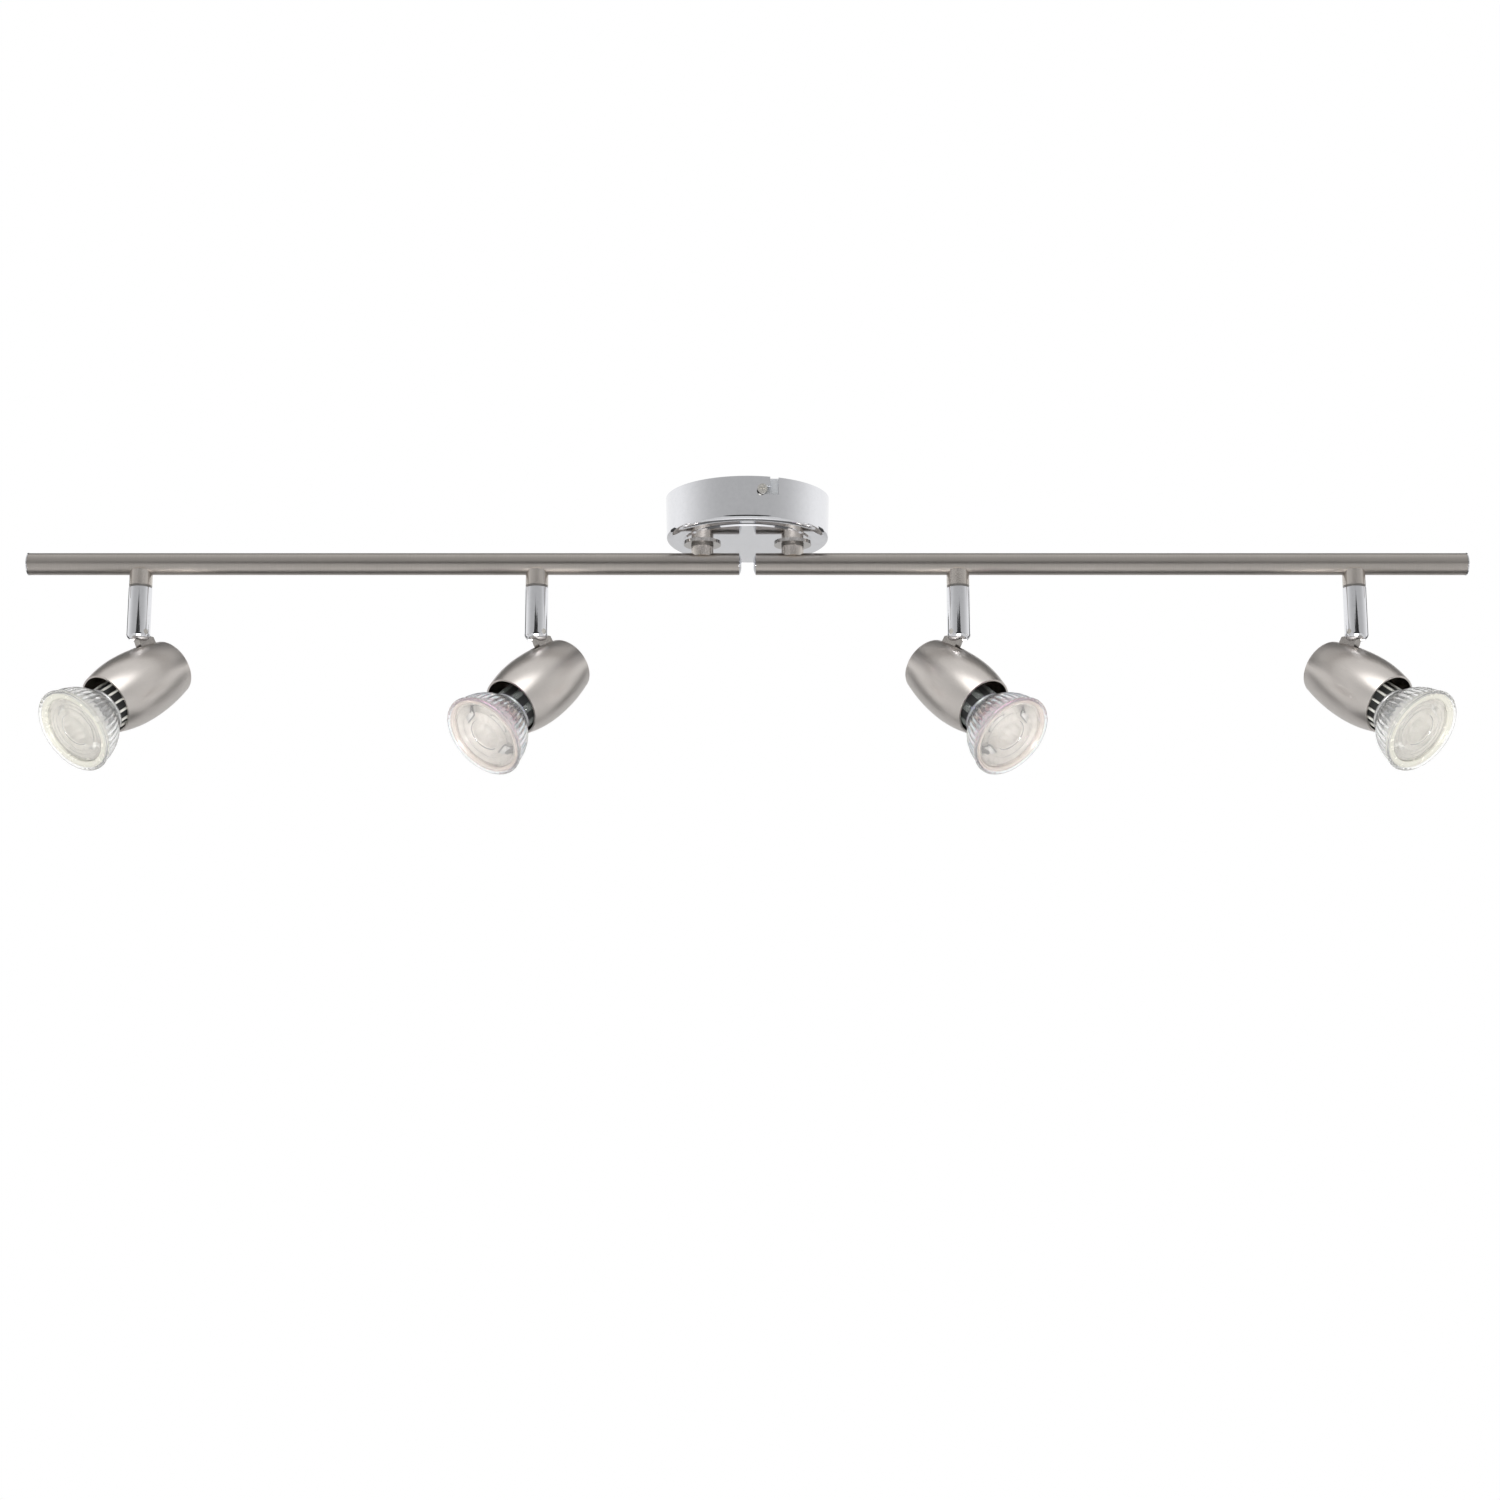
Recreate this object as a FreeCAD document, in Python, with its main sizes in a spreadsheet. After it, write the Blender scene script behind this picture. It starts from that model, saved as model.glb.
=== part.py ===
"""Four-spot ceiling light: a round canopy, two swinging half-bars and four adjustable spots.

The origin is the centre of the ceiling plane, +Z points up into the ceiling and +X runs along
the bars. Every length is in millimetres and comes from the "Sizes" sheet.
"""
import FreeCAD
import Part
import os
import math
import Sketcher

DIMENSIONS = {
    # ceiling canopy
    "cover_radius": 46.5,          # outer radius of the cup at the ceiling
    "cover_foot_radius": 45.9,     # outer radius where the wall meets the lower corner
    "cover_height": 24.9,
    "cover_corner": 2.8,
    "cover_wall": 0.9,
    "disc_radius": 37.1,           # raised disc in the middle of the underside
    "disc_step": 0.8,
    "notch_side": 17.2,            # far side of the bayonet notch from the middle
    "notch_width": 4.6,
    "notch_depth": 9.9,
    "notch_reach": 11.0,           # length of the notch's level leg
    "cover_screw_side": 8.3,
    "cover_screw_radius": 2.0,
    "cover_screw_head": 2.8,
    "cover_screw_head_height": 1.7,
    # bracket on the ceiling
    "bracket_half_width": 18.0,
    "bracket_half_length": 41.0,
    "bracket_plate": 1.5,
    "bracket_flange": 13.0,
    "slot_spacing": 56.0,
    "slot_length": 14.0,
    "slot_radius": 2.3,
    # connector block
    "block_length": 28.0,
    "block_width": 17.0,
    "block_height": 8.0,
    "block_pitch": 9.0,
    "tower_radius": 3.4,
    "tower_height": 4.5,
    "tower_row": 5.0,
    "terminal_screw_radius": 1.9,
    "wire_hole_radius": 1.6,
    # swivel post of each half-bar
    "post_offset": 25.6,
    "post_radius": 6.3,
    "nipple_radius": 5.0,
    "nipple_bore": 3.5,
    "nipple_top": 16.2,
    "washer_radius": 10.5,
    "washer_thickness": 1.0,
    "ring_radius": 6.35,
    "ring_thickness": 1.2,
    "friction_washer_radius": 9.0,
    "friction_washer_thickness": 0.8,
    "nut_across_flats": 14.0,
    "nut_height": 5.0,
    # half-bars
    "bar_drop": 37.7,              # bar axis below the ceiling
    "bar_radius": 6.2,
    "bar_wall": 1.0,
    "bar_inner_end": 4.7,
    "bar_outer_end": 407.0,
    "saddle_depth": 2.2,           # how far posts and collars reach round the bar
    "wire_way_radius": 3.5,
    "cap_radius": 6.45,
    "cap_rim": 0.6,
    "cap_dome": 0.4,
    "plug_dome": 1.5,
    "crown_flat": 1.0,             # flat spot in the middle of every domed face
    "spigot_length": 6.0,
    "lead_radius": 1.2,
    "lead_gap": 0.1,
    # spots
    "inner_spot": 119.2,
    "outer_spot": 343.5,
    "collar_radius": 6.4,
    "collar_bottom": 50.5,
    "collar_floor": 4.0,
    "collar_bore": 5.4,
    "swivel_ring_radius": 6.3,
    "swivel_ring_height": 1.1,
    "stem_radius": 6.55,
    "stem_bottom": 82.3,
    "stem_rounding": 3.5,
    "stem_bore": 2.6,
    "slot_gap": 0.2,               # room each side of the lug in the stem's and barrel's slots
    "slot_height": 12.0,
    "spigot_radius": 3.9,
    "spigot_head_radius": 5.0,
    "spigot_head_height": 1.2,
    "pivot_drop": 77.8,            # tilt pin below the ceiling
    "pin_radius": 1.5,
    "pin_inset": 0.15,
    "lug_thickness": 4.6,
    "lug_tip_radius": 3.4,
    "lug_foot_length": 10.6,
    "lug_foot_shift": 1.5,
    "lug_root": 2.2,               # length of the lug inside the barrel wall
    # lamp head, along its own axis from the foot of the pivot
    "pivot_clearance": 5.7,        # tilt pin above the widest part of the barrel
    "mouth_reach": 41.3,
    "belly_reach": 20.2,
    "tail_reach": 11.2,
    "mouth_radius": 17.2,
    "belly_radius": 20.3,
    "tail_radius": 16.2,
    "tail_rounding": 1.5,
    "barrel_wall": 1.0,
    "lug_slot_front": 9.0,         # front end of the slot that the lug comes up through
    "lug_slot_back": 7.4,
    "lamp_sag": 3.3,               # degrees that the holder and lamp hang below the barrel's axis
    "boss_radius": 2.5,
    "boss_offset": 8.5,
    "boss_gap": 0.2,               # room for the holder to sag on the bosses
    "holder_radius": 13.0,
    "holder_length": 24.0,
    # GU10 lamp
    "face_reach": 69.0,
    "lamp_radius": 25.0,
    "lamp_length": 46.0,           # face to the shoulder of the base
    "lamp_rim": 1.8,
    "lamp_shoulder_radius": 15.6,
    "lamp_shoulder": 20.0,
    "lamp_neck_radius": 13.6,
    "lamp_neck": 23.0,
    "lamp_bulge": 1.8,             # how far the reflector's side stands out from a straight cone
    "lamp_glass": 1.2,
    "lamp_lip": 0.8,               # how far the rim stands out past the flared glass
    "lamp_edge": 0.6,              # bevel round the face
    "lens_thickness": 1.3,
    "lens_inset": 0.5,
    "lamp_base_radius": 11.8,
    "lamp_base_height": 9.0,
    "led_board_radius": 12.0,
    "led_board": 1.5,
    "led_depth": 17.0,             # face to the LED board
    "pin_spacing": 10.0,
    "contact_radius": 1.5,
    "contact_head_radius": 2.4,
    "contact_head_height": 2.2,
    "contact_length": 7.5,
    # edges and screw slots
    "edge_break": 0.3,
    "driver_slot": 0.6,
    # clearances
    "running_gap": 0.08,
    "seat_gap": 0.05,
    "loose_gap": 0.3,
}
HEADINGS = {                       # degrees from the front, and degrees below level
    "outer": (37.5, 33.5),
    "inner": (43.0, 36.5),
}
SIDES = {"left": -1, "right": 1}

doc = FreeCAD.newDocument("spot_bar")
sheet = doc.addObject("Spreadsheet::Sheet", "Sizes")
nodes = []


class Size:
    """A length together with the sheet expression that gives it."""

    def __init__(self, value, text):
        self.value = value
        self.text = text

    def join(self, other, sign, value):
        return Size(value, "(%s %s %s)" % (self.text, sign, other.text))

    def __add__(self, other):
        other = as_size(other)
        return self.join(other, "+", self.value + other.value)

    def __sub__(self, other):
        other = as_size(other)
        return self.join(other, "-", self.value - other.value)

    def __mul__(self, other):
        other = as_size(other)
        return self.join(other, "*", self.value * other.value)

    def __truediv__(self, other):
        other = as_size(other)
        return self.join(other, "/", self.value / other.value)

    def __neg__(self):
        return Size(-self.value, "(0 - %s)" % self.text)

    def root(self):
        return Size(math.sqrt(self.value), "sqrt(%s)" % self.text)


def as_size(number):
    """Let a plain number stand beside named sizes."""
    if isinstance(number, Size):
        return number
    return Size(float(number), repr(float(number)))


def fill_sheet():
    for row, (name, number) in enumerate(DIMENSIONS.items(), start=1):
        sheet.set("A%d" % row, name)
        sheet.set("B%d" % row, str(number))
        sheet.setAlias("B%d" % row, name)
    doc.recompute()


def size(name):
    return Size(float(sheet.get(name)), "Sizes." + name)


def bind(item, **lengths):
    """Tie properties of a feature to the sheet."""
    for prop, length in lengths.items():
        length = as_size(length)
        setattr(item, prop, length.value)
        item.setExpression(prop, length.text)
    return item


def vector(x, y, z):
    return FreeCAD.Vector(*(as_size(part).value for part in (x, y, z)))


def move(item, x=0, y=0, z=0):
    """Tie a helper solid's place to the sheet."""
    item.Placement.Base = vector(x, y, z)
    for axis, length in zip("xyz", (x, y, z)):
        item.setExpression("Placement.Base." + axis, as_size(length).text)
    return item


def cylinder(name, radius, height, x=0, y=0, z=0):
    item = doc.addObject("Part::Cylinder", name)
    return move(bind(item, Radius=radius, Height=height), x, y, z)


def cross_cylinder(name, radius, length, direction, x=0, y=0, z=0):
    """A cylinder lying along X or Y, from its start point."""
    item = cylinder(name, radius, length)
    turns = {"X": FreeCAD.Rotation(vector(0, 1, 0), 90), "Y": FreeCAD.Rotation(vector(1, 0, 0), -90)}
    item.Placement.Rotation = turns[direction]
    return move(item, x, y, z)


def box(name, length, width, height, x=0, y=0, z=0):
    item = doc.addObject("Part::Box", name)
    return move(bind(item, Length=length, Width=width, Height=height), x, y, z)


def cut(name, base, *tools):
    for number, tool in enumerate(tools):
        item = doc.addObject("Part::Cut", "%s_cut%d" % (name, number))
        item.Base = base
        item.Tool = tool
        base = item
    return base


def fuse(name, *shapes):
    item = doc.addObject("Part::MultiFuse", name + "_joined")
    item.Shapes = list(shapes)
    item.Refine = True
    return item


def group(name, *solids):
    """Separate solids that share one file."""
    item = doc.addObject("Part::Compound", name + "_set")
    item.Links = list(solids)
    return item


def publish(item, label, placement=None):
    """Name a finished piece, put it in its place and list it for export."""
    item.Label = label
    if placement is not None:
        item.Placement = placement
    nodes.append(item)
    return item


def origin_plane(body, role):
    return [item for item in body.Origin.OriginFeatures if item.Role == role][0]


def new_sketch(body, name, role):
    sketch = body.newObject("Sketcher::SketchObject", name)
    sketch.AttachmentSupport = (origin_plane(body, role), [""])
    sketch.MapMode = "FlatFace"
    return sketch


def pin_point(sketch, geometry, end, point):
    """Hold one point of a sketch at its two sizes."""
    for kind, length in zip(("DistanceX", "DistanceY"), point):
        length = as_size(length)
        index = sketch.addConstraint(Sketcher.Constraint(kind, -1, 1, geometry, end, length.value))
        sketch.setExpression("Constraints[%d]" % index, length.text)


def draw_outline(sketch, corners):
    """Draw a closed outline of lines, and of arcs where a corner carries a point to pass through."""
    count = len(corners)
    edges = []
    for number, corner in enumerate(corners):
        start = vector(corner[0], corner[1], 0)
        end = vector(corners[(number + 1) % count][0], corners[(number + 1) % count][1], 0)
        if len(corner) == 2:
            edges.append(sketch.addGeometry(Part.LineSegment(start, end), False))
            continue
        via = vector(corner[2], corner[3], 0)
        arc = sketch.addGeometry(Part.Arc(start, via, end), False)
        edges.append(arc)
    for number, edge in enumerate(edges):
        following = edges[(number + 1) % count]
        sketch.addConstraint(Sketcher.Constraint(
            "Coincident", edge, end_of(sketch, edge, corners[(number + 1) % count]),
            following, end_of(sketch, following, corners[(number + 1) % count])))
    for number, edge in enumerate(edges):
        pin_point(sketch, edge, end_of(sketch, edge, corners[number]), corners[number][:2])
        if len(corners[number]) == 4:
            middle = sketch.addGeometry(Part.Point(vector(corners[number][2], corners[number][3], 0)), True)
            sketch.addConstraint(Sketcher.Constraint("PointOnObject", middle, 1, edge))
            pin_point(sketch, middle, 1, corners[number][2:])


def end_of(sketch, edge, corner):
    """Tell which end of an edge, 1 or 2, lies at a corner."""
    place = vector(corner[0], corner[1], 0)
    first = sketch.getPoint(edge, 1)
    second = sketch.getPoint(edge, 2)
    return 1 if first.distanceToPoint(place) < second.distanceToPoint(place) else 2


def lathe(name, corners):
    """Turn an outline of (radius, height) corners about the Z axis."""
    body = doc.addObject("PartDesign::Body", name + "_body")
    sketch = new_sketch(body, name + "_outline", "XZ_Plane")
    draw_outline(sketch, corners)
    turned = body.newObject("PartDesign::Revolution", name + "_turned")
    turned.Profile = sketch
    turned.ReferenceAxis = (sketch, ["V_Axis"])
    turned.Angle = 360.0
    body.Tip = turned
    return body


def plate(name, corners, thickness, role):
    """Pad an outline both ways from one of the origin planes."""
    body = doc.addObject("PartDesign::Body", name + "_body")
    sketch = new_sketch(body, name + "_outline", role)
    draw_outline(sketch, corners)
    pad = body.newObject("PartDesign::Pad", name + "_pad")
    pad.Profile = sketch
    pad.Midplane = True
    bind(pad, Length=thickness)
    body.Tip = pad
    return body


def half_turn():
    return FreeCAD.Rotation(FreeCAD.Vector(0, 0, 1), 180)


def washer(name, radius, bore, thickness, x, z):
    """A flat ring whose lower face is at z."""
    disc = cylinder(name + "_disc", radius, thickness, x=x, z=z)
    hole = cylinder(name + "_hole", bore, thickness + 2, x=x, z=z - 1)
    return cut(name, disc, hole)


# ---- canopy ---------------------------------------------------------------------------------

def cover_outline():
    """Cup with a drafted wall, a round lower corner and a stepped disc underneath."""
    rim, foot = size("cover_radius"), size("cover_foot_radius")
    wall, corner = size("cover_wall"), size("cover_corner")
    floor = -size("cover_height")
    disc, step = size("disc_radius"), size("disc_step")
    diagonal = corner * (1 - math.sqrt(0.5))
    inner_corner = corner - wall
    inner_diagonal = inner_corner * (1 - math.sqrt(0.5))
    return [
        (0, floor - step),
        (disc - step, floor - step),
        (disc, floor),
        (foot - corner, floor, foot - diagonal, floor + diagonal),
        (foot, floor + corner),
        (rim, 0),
        (rim - wall, 0),
        (foot - wall, floor + corner, foot - wall - inner_diagonal, floor + wall + inner_diagonal),
        (foot - corner, floor + wall),
        (disc, floor + wall),
        (disc - step, floor - step + wall),
        (0, floor - step + wall),
    ]


def notch_cutters(name):
    """The L-shaped bayonet notch through the wall: an open leg and a level leg."""
    side, width = size("notch_side"), size("notch_width")
    depth, reach = size("notch_depth"), size("notch_reach")
    through = size("cover_radius") / 2
    leg = box(name + "_leg", width, through, depth + 1, x=side - width, y=-(through * 2 + 1), z=-depth)
    level = box(name + "_level", reach, through, width, x=side - reach, y=-(through * 2 + 1), z=-depth)
    return fuse(name, leg, level)


def turned_copy(name, item):
    """The same cutter on the opposite side of the Z axis."""
    copy = doc.addObject("Part::Compound", name)
    copy.Links = [item]
    copy.Placement = FreeCAD.Placement(FreeCAD.Vector(), half_turn())
    return copy


def make_cover():
    cup = lathe("cover", cover_outline())
    front = notch_cutters("notch")
    back = turned_copy("notch_back", front)
    bore = size("nipple_radius") + size("running_gap")
    height = size("cover_height")
    holes = [cylinder("post_hole_" + side, bore, 5, x=size("post_offset") * sign, z=-(height + 3))
             for side, sign in SIDES.items()]
    publish(cut("cover_shell", cup, front, back, *holes), "canopy_cover")


def slot_cutter(name, y):
    """A slot with round ends that runs along Y."""
    radius, plate_size = size("slot_radius"), size("bracket_plate")
    half = size("slot_length") / 2 - radius
    low = -(plate_size + 1)
    ends = [cylinder("%s_end%d" % (name, sign), radius, plate_size + 2, y=y + half * sign, z=low)
            for sign in (-1, 1)]
    middle = box(name + "_middle", radius * 2, half * 2, plate_size + 2, x=-radius, y=y - half, z=low)
    return fuse(name, middle, *ends)


def make_bracket():
    """Strap against the ceiling, with a flange down at each end for the cover screws."""
    width, length = size("bracket_half_width"), size("bracket_half_length")
    thick, flange = size("bracket_plate"), size("bracket_flange")
    screw = size("cover_screw_radius")
    side, drop = size("cover_screw_side"), screw_drop()
    pieces = [box("strap", width * 2, length * 2, thick, x=-width, y=-length, z=-thick)]
    holes = []
    for sign in (-1, 1):
        start = length * sign - (thick if sign > 0 else 0)
        pieces.append(box("flange%d" % sign, width * 2, thick, flange, x=-width, y=start, z=-flange))
        holes.append(cross_cylinder("tapped%d" % sign, screw + size("seat_gap"), thick + 2, "Y",
                                    x=side * -sign, y=start - 1, z=-drop))
        holes.append(slot_cutter("slot%d" % sign, size("slot_spacing") / 2 * sign))
    holes.append(cylinder("earth_tapping", screw + size("seat_gap"), thick + 2, x=earth_side(), z=-(thick + 1)))
    publish(cut("bracket", fuse("bracket", *pieces), *holes), "mounting_bracket")


def screw_drop():
    """Height of the cover screws: the middle of the notch's level leg."""
    return size("notch_depth") - size("notch_width") / 2


def earth_side():
    """The earth screw stands on the strap between the block and the strap's edge."""
    return -(size("block_width") / 2 + size("bracket_half_width")) / 2


def make_cover_screws():
    """Each screw runs from the flange out through the notch, with its head on the wall."""
    radius, head = size("cover_screw_radius"), size("cover_screw_head")
    height = size("cover_screw_head_height")
    inside = size("bracket_half_length") - size("bracket_plate") - 1
    seat = size("cover_radius") - size("loose_gap")
    side, drop = size("cover_screw_side"), screw_drop()
    shank = cross_cylinder("cover_shank", radius, seat - inside + 1, "Y", x=side, y=-(seat + 1), z=-drop)
    cap = cross_cylinder("cover_head", head, height, "Y", x=side, y=-(seat + height), z=-drop)
    slot = size("driver_slot")
    long_slot = box("cover_driver_a", head * 1.3, 1, slot,
                    x=side - head * 0.65, y=-(seat + height), z=-(drop + slot / 2))
    cross_slot = box("cover_driver_b", slot, 1, head * 1.3,
                     x=side - slot / 2, y=-(seat + height), z=-(drop + head * 0.65))
    screw = cut("cover_screw", fuse("cover_screw", shank, cap), long_slot, cross_slot)
    publish(group("cover_screws", screw, turned_copy("cover_screw_back", screw)), "cover_screws")


def tower_places():
    pitch, row = size("block_pitch"), size("tower_row")
    return [(row * side, pitch * pole) for pole in (-1, 0, 1) for side in (-1, 1)]


def make_terminal_block():
    """Three-way connector under the strap; its poles lie side by side along Y."""
    length, width, height = size("block_length"), size("block_width"), size("block_height")
    top = -(size("bracket_plate") + size("seat_gap"))
    tower, rise = size("tower_radius"), size("tower_height")
    base = box("block_base", width, length, height, x=-width / 2, y=-length / 2, z=top - height)
    towers = [cylinder("tower%d" % number, tower, rise + 1, x=x, y=y, z=top - height - rise)
              for number, (x, y) in enumerate(tower_places())]
    wells = [cylinder("well%d" % number, size("terminal_screw_radius") + size("loose_gap"), rise + 2,
                      x=x, y=y, z=top - height - rise - 1)
             for number, (x, y) in enumerate(tower_places())]
    ways = [cross_cylinder("way%d" % pole, size("wire_hole_radius"), width + 2, "X",
                           x=-(width / 2 + 1), y=size("block_pitch") * pole, z=top - height / 2)
            for pole in (-1, 0, 1)]
    publish(cut("terminal_block", fuse("terminal_block", base, *towers), *wells, *ways), "terminal_block")
    screws = [cylinder("terminal_screw%d" % number, size("terminal_screw_radius"), rise,
                       x=x, y=y, z=top - height - rise + 1 - size("seat_gap"))
              for number, (x, y) in enumerate(tower_places())]
    publish(group("terminal_screws", *screws), "terminal_screws")


def make_earth_screw():
    """Screw with a wide washer head for the earth lead, under the strap."""
    radius, plate_size = size("cover_screw_radius"), size("bracket_plate")
    low = -(plate_size + size("seat_gap"))
    shank = cylinder("earth_shank", radius, plate_size + 4, x=earth_side(), z=low - 4)
    head = cylinder("earth_head", radius * 1.8, 2.2, x=earth_side(), z=low - 5)
    publish(fuse("earth_screw", shank, head), "earth_screw")


def underside():
    """Height of the stepped disc's lower face."""
    return -(size("cover_height") + size("disc_step"))


def ring_bottom():
    return underside() - size("washer_thickness") - size("ring_thickness")


def make_post_hardware():
    """Washers, rings and friction washers that stay with the canopy at both posts."""
    bore = size("nipple_radius") + size("running_gap")
    inside = underside() + size("cover_wall")
    sets = {
        "post_washers": (size("washer_radius"), size("washer_thickness"), underside() - size("washer_thickness")),
        "post_rings": (size("ring_radius"), size("ring_thickness"), ring_bottom()),
        "friction_washers": (size("friction_washer_radius"), size("friction_washer_thickness"), inside),
    }
    for label, (radius, thickness, low) in sets.items():
        rings = [washer("%s_%s" % (label, side), radius, bore, thickness, size("post_offset") * sign, low)
                 for side, sign in SIDES.items()]
        publish(group(label, *rings), label)


# ---- half-bars ------------------------------------------------------------------------------

def side_placement(side):
    """Half-bars are drawn on the right; the left one is turned half round the Z axis."""
    return FreeCAD.Placement(FreeCAD.Vector(), half_turn() if side == "left" else FreeCAD.Rotation())


def along_bar(name, radius, start, end):
    return cross_cylinder(name, radius, end - start, "X", x=start, z=-size("bar_drop"))


def spot_offsets():
    return {"inner": size("inner_spot"), "outer": size("outer_spot")}


def make_tube(side):
    radius, wall = size("bar_radius"), size("bar_wall")
    start, end = size("bar_inner_end"), size("bar_outer_end")
    drop, way = size("bar_drop"), size("wire_way_radius")
    outside = along_bar("tube_out_" + side, radius, start, end)
    inside = along_bar("tube_in_" + side, radius - wall, start - 1, end + 1)
    top_hole = cylinder("tube_top_hole_" + side, way, radius + 1, x=size("post_offset"), z=-drop)
    lower = [cylinder("tube_hole_%s_%s" % (spot, side), way, radius + 1, x=x, z=-(drop + radius + 1))
             for spot, x in spot_offsets().items()]
    publish(cut("tube_" + side, outside, inside, top_hole, *lower), "bar_tube_" + side, side_placement(side))


def bar_end(name, outline, start, flip):
    """A turned plug set on the bar's axis, facing out of one end."""
    body = lathe(name, outline)
    turn = FreeCAD.Rotation(FreeCAD.Vector(0, 1, 0), -90 if flip else 90)
    return body, FreeCAD.Placement(vector(start, 0, -size("bar_drop")), turn)


def make_bar_ends(side):
    """A thin domed cap outside and a rounded plug at the gap in the middle."""
    bore = size("bar_radius") - size("bar_wall") - size("seat_gap")
    inlet = -size("spigot_length")
    rim, dome = size("cap_rim"), size("cap_dome")
    cap, seat, flat = size("cap_radius"), size("seat_gap"), size("crown_flat")
    cap_outline = [(0, inlet), (bore, inlet), (bore, seat), (cap, seat),
                   (cap, rim, cap * 0.6, rim + dome * 0.7), (flat, rim + dome), (0, rim + dome)]
    body, place = bar_end("cap_" + side, cap_outline, size("bar_outer_end"), False)
    publish(body, "end_cap_" + side, side_placement(side) * place)
    bulge, face = size("plug_dome"), size("bar_radius")
    plug_outline = [(0, inlet), (bore, inlet), (bore, seat), (face, seat, face * 0.6, bulge * 0.72),
                    (flat, bulge), (0, bulge)]
    body, place = bar_end("plug_" + side, plug_outline, size("bar_inner_end"), True)
    publish(body, "inner_plug_" + side, side_placement(side) * place)


def bar_groove(name):
    """Cutter for the saddle where a post or collar meets the bar."""
    return along_bar(name, size("bar_radius") + size("seat_gap"), size("bar_inner_end"), size("bar_outer_end"))


def make_post(side):
    """Short post that hangs the half-bar from its hollow threaded pipe."""
    x, drop = size("post_offset"), size("bar_drop")
    top = ring_bottom() - size("seat_gap")
    low = -(drop - size("bar_radius") + size("saddle_depth"))
    outside = cylinder("post_out_" + side, size("post_radius"), top - low, x=x, z=low)
    bore = cylinder("post_bore_" + side, size("nipple_radius") + size("seat_gap"), top - low + 2, x=x, z=low - 1)
    publish(cut("post_" + side, outside, bore, bar_groove("post_groove_" + side)),
            "bar_post_" + side, side_placement(side))
    foot = -(drop - size("bar_radius") - size("loose_gap"))
    pipe = cylinder("pipe_" + side, size("nipple_radius"), -size("nipple_top") - foot, x=x, z=foot)
    hollow = cylinder("pipe_bore_" + side, size("nipple_bore"), size("bar_drop"), x=x, z=-size("bar_drop"))
    publish(cut("nipple_" + side, pipe, hollow), "post_nipple_" + side, side_placement(side))


def make_lock_nut(side):
    """Hexagon nut on the pipe inside the canopy."""
    low = underside() + size("cover_wall") + size("friction_washer_thickness") + size("seat_gap")
    corner = size("nut_across_flats") / math.sqrt(3)
    hexagon = bind(doc.addObject("Part::Prism", "hexagon_" + side), Circumradius=corner, Height=size("nut_height"))
    move(hexagon, x=size("post_offset"), z=low)
    hole = cylinder("nut_hole_" + side, size("nipple_radius") + size("seat_gap"), size("nut_height") + 2,
                    x=size("post_offset"), z=low - 1)
    publish(cut("nut_" + side, hexagon, hole), "lock_nut_" + side, side_placement(side))


def make_leads(side):
    """Two insulated leads that lie side by side on the floor of the tube."""
    radius, gap = size("lead_radius"), size("lead_gap")
    reach = size("bar_radius") - size("bar_wall") - radius - gap
    half = radius + gap / 2
    drop = size("bar_drop") + (reach * reach - half * half).root()
    length = size("outer_spot") - size("post_offset")
    leads = [cross_cylinder("lead%d_%s" % (sign, side), radius, length, "X",
                            x=size("post_offset"), y=half * sign, z=-drop) for sign in (-1, 1)]
    publish(group("leads_" + side, *leads), "bar_leads_" + side, side_placement(side))


def make_collars(side):
    """Collars under the bar that carry the stems, each with a ring below it."""
    top = -(size("bar_drop") + size("bar_radius") - size("saddle_depth"))
    low, floor = -size("collar_bottom"), size("collar_floor")
    bore = size("spigot_radius") + size("running_gap")
    collars, rings = [], []
    groove = bar_groove("collar_groove_" + side)
    for spot, x in spot_offsets().items():
        name = "collar_%s_%s" % (spot, side)
        outside = cylinder(name + "_out", size("collar_radius"), top - low, x=x, z=low)
        hole = cylinder(name + "_bore", bore, floor + 2, x=x, z=low - 1)
        recess = cylinder(name + "_recess", size("collar_bore"), top - low, x=x, z=low + floor)
        collars.append(cut(name, outside, hole, recess, groove))
        height = size("swivel_ring_height")
        rings.append(washer("swivel_%s_%s" % (spot, side), size("swivel_ring_radius"), bore, height, x, low - height))
    publish(group("collars_" + side, *collars), "spot_collars_" + side, side_placement(side))
    publish(group("rings_" + side, *rings), "swivel_rings_" + side, side_placement(side))


# ---- spots ----------------------------------------------------------------------------------

def spot_x(spot, side):
    return spot_offsets()[spot].value * SIDES[side]


def heading(spot, side):
    """Angle of the lamp's level direction from +X."""
    return -90 + HEADINGS[spot][0] * SIDES[side]


def stem_placement(spot, side):
    """Stems are drawn on the Z axis with their slot along X, and turn to their lamp's heading."""
    turn = FreeCAD.Rotation(FreeCAD.Vector(0, 0, 1), heading(spot, side))
    return FreeCAD.Placement(FreeCAD.Vector(spot_x(spot, side), 0, 0), turn)


def head_placement(spot, side):
    """Head pieces are drawn along +Z, the way the light goes, with the tilt pin on their +X side."""
    turn = FreeCAD.Rotation(FreeCAD.Vector(0, 0, 1), heading(spot, side))
    turn = turn * FreeCAD.Rotation(FreeCAD.Vector(0, 1, 0), 90 + HEADINGS[spot][1])
    turn = turn * half_turn()
    pivot = vector(spot_x(spot, side), 0, -size("pivot_drop"))
    return FreeCAD.Placement(pivot - turn.multVec(vector(pivot_offset(), 0, 0)), turn)


def pivot_offset():
    """Tilt pin above the barrel's axis."""
    return size("belly_radius") + size("pivot_clearance")


def lug_slot_width():
    """Slots that take the lug, in the stem's foot and in the barrel."""
    return size("lug_thickness") + size("slot_gap") * 2


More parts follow.
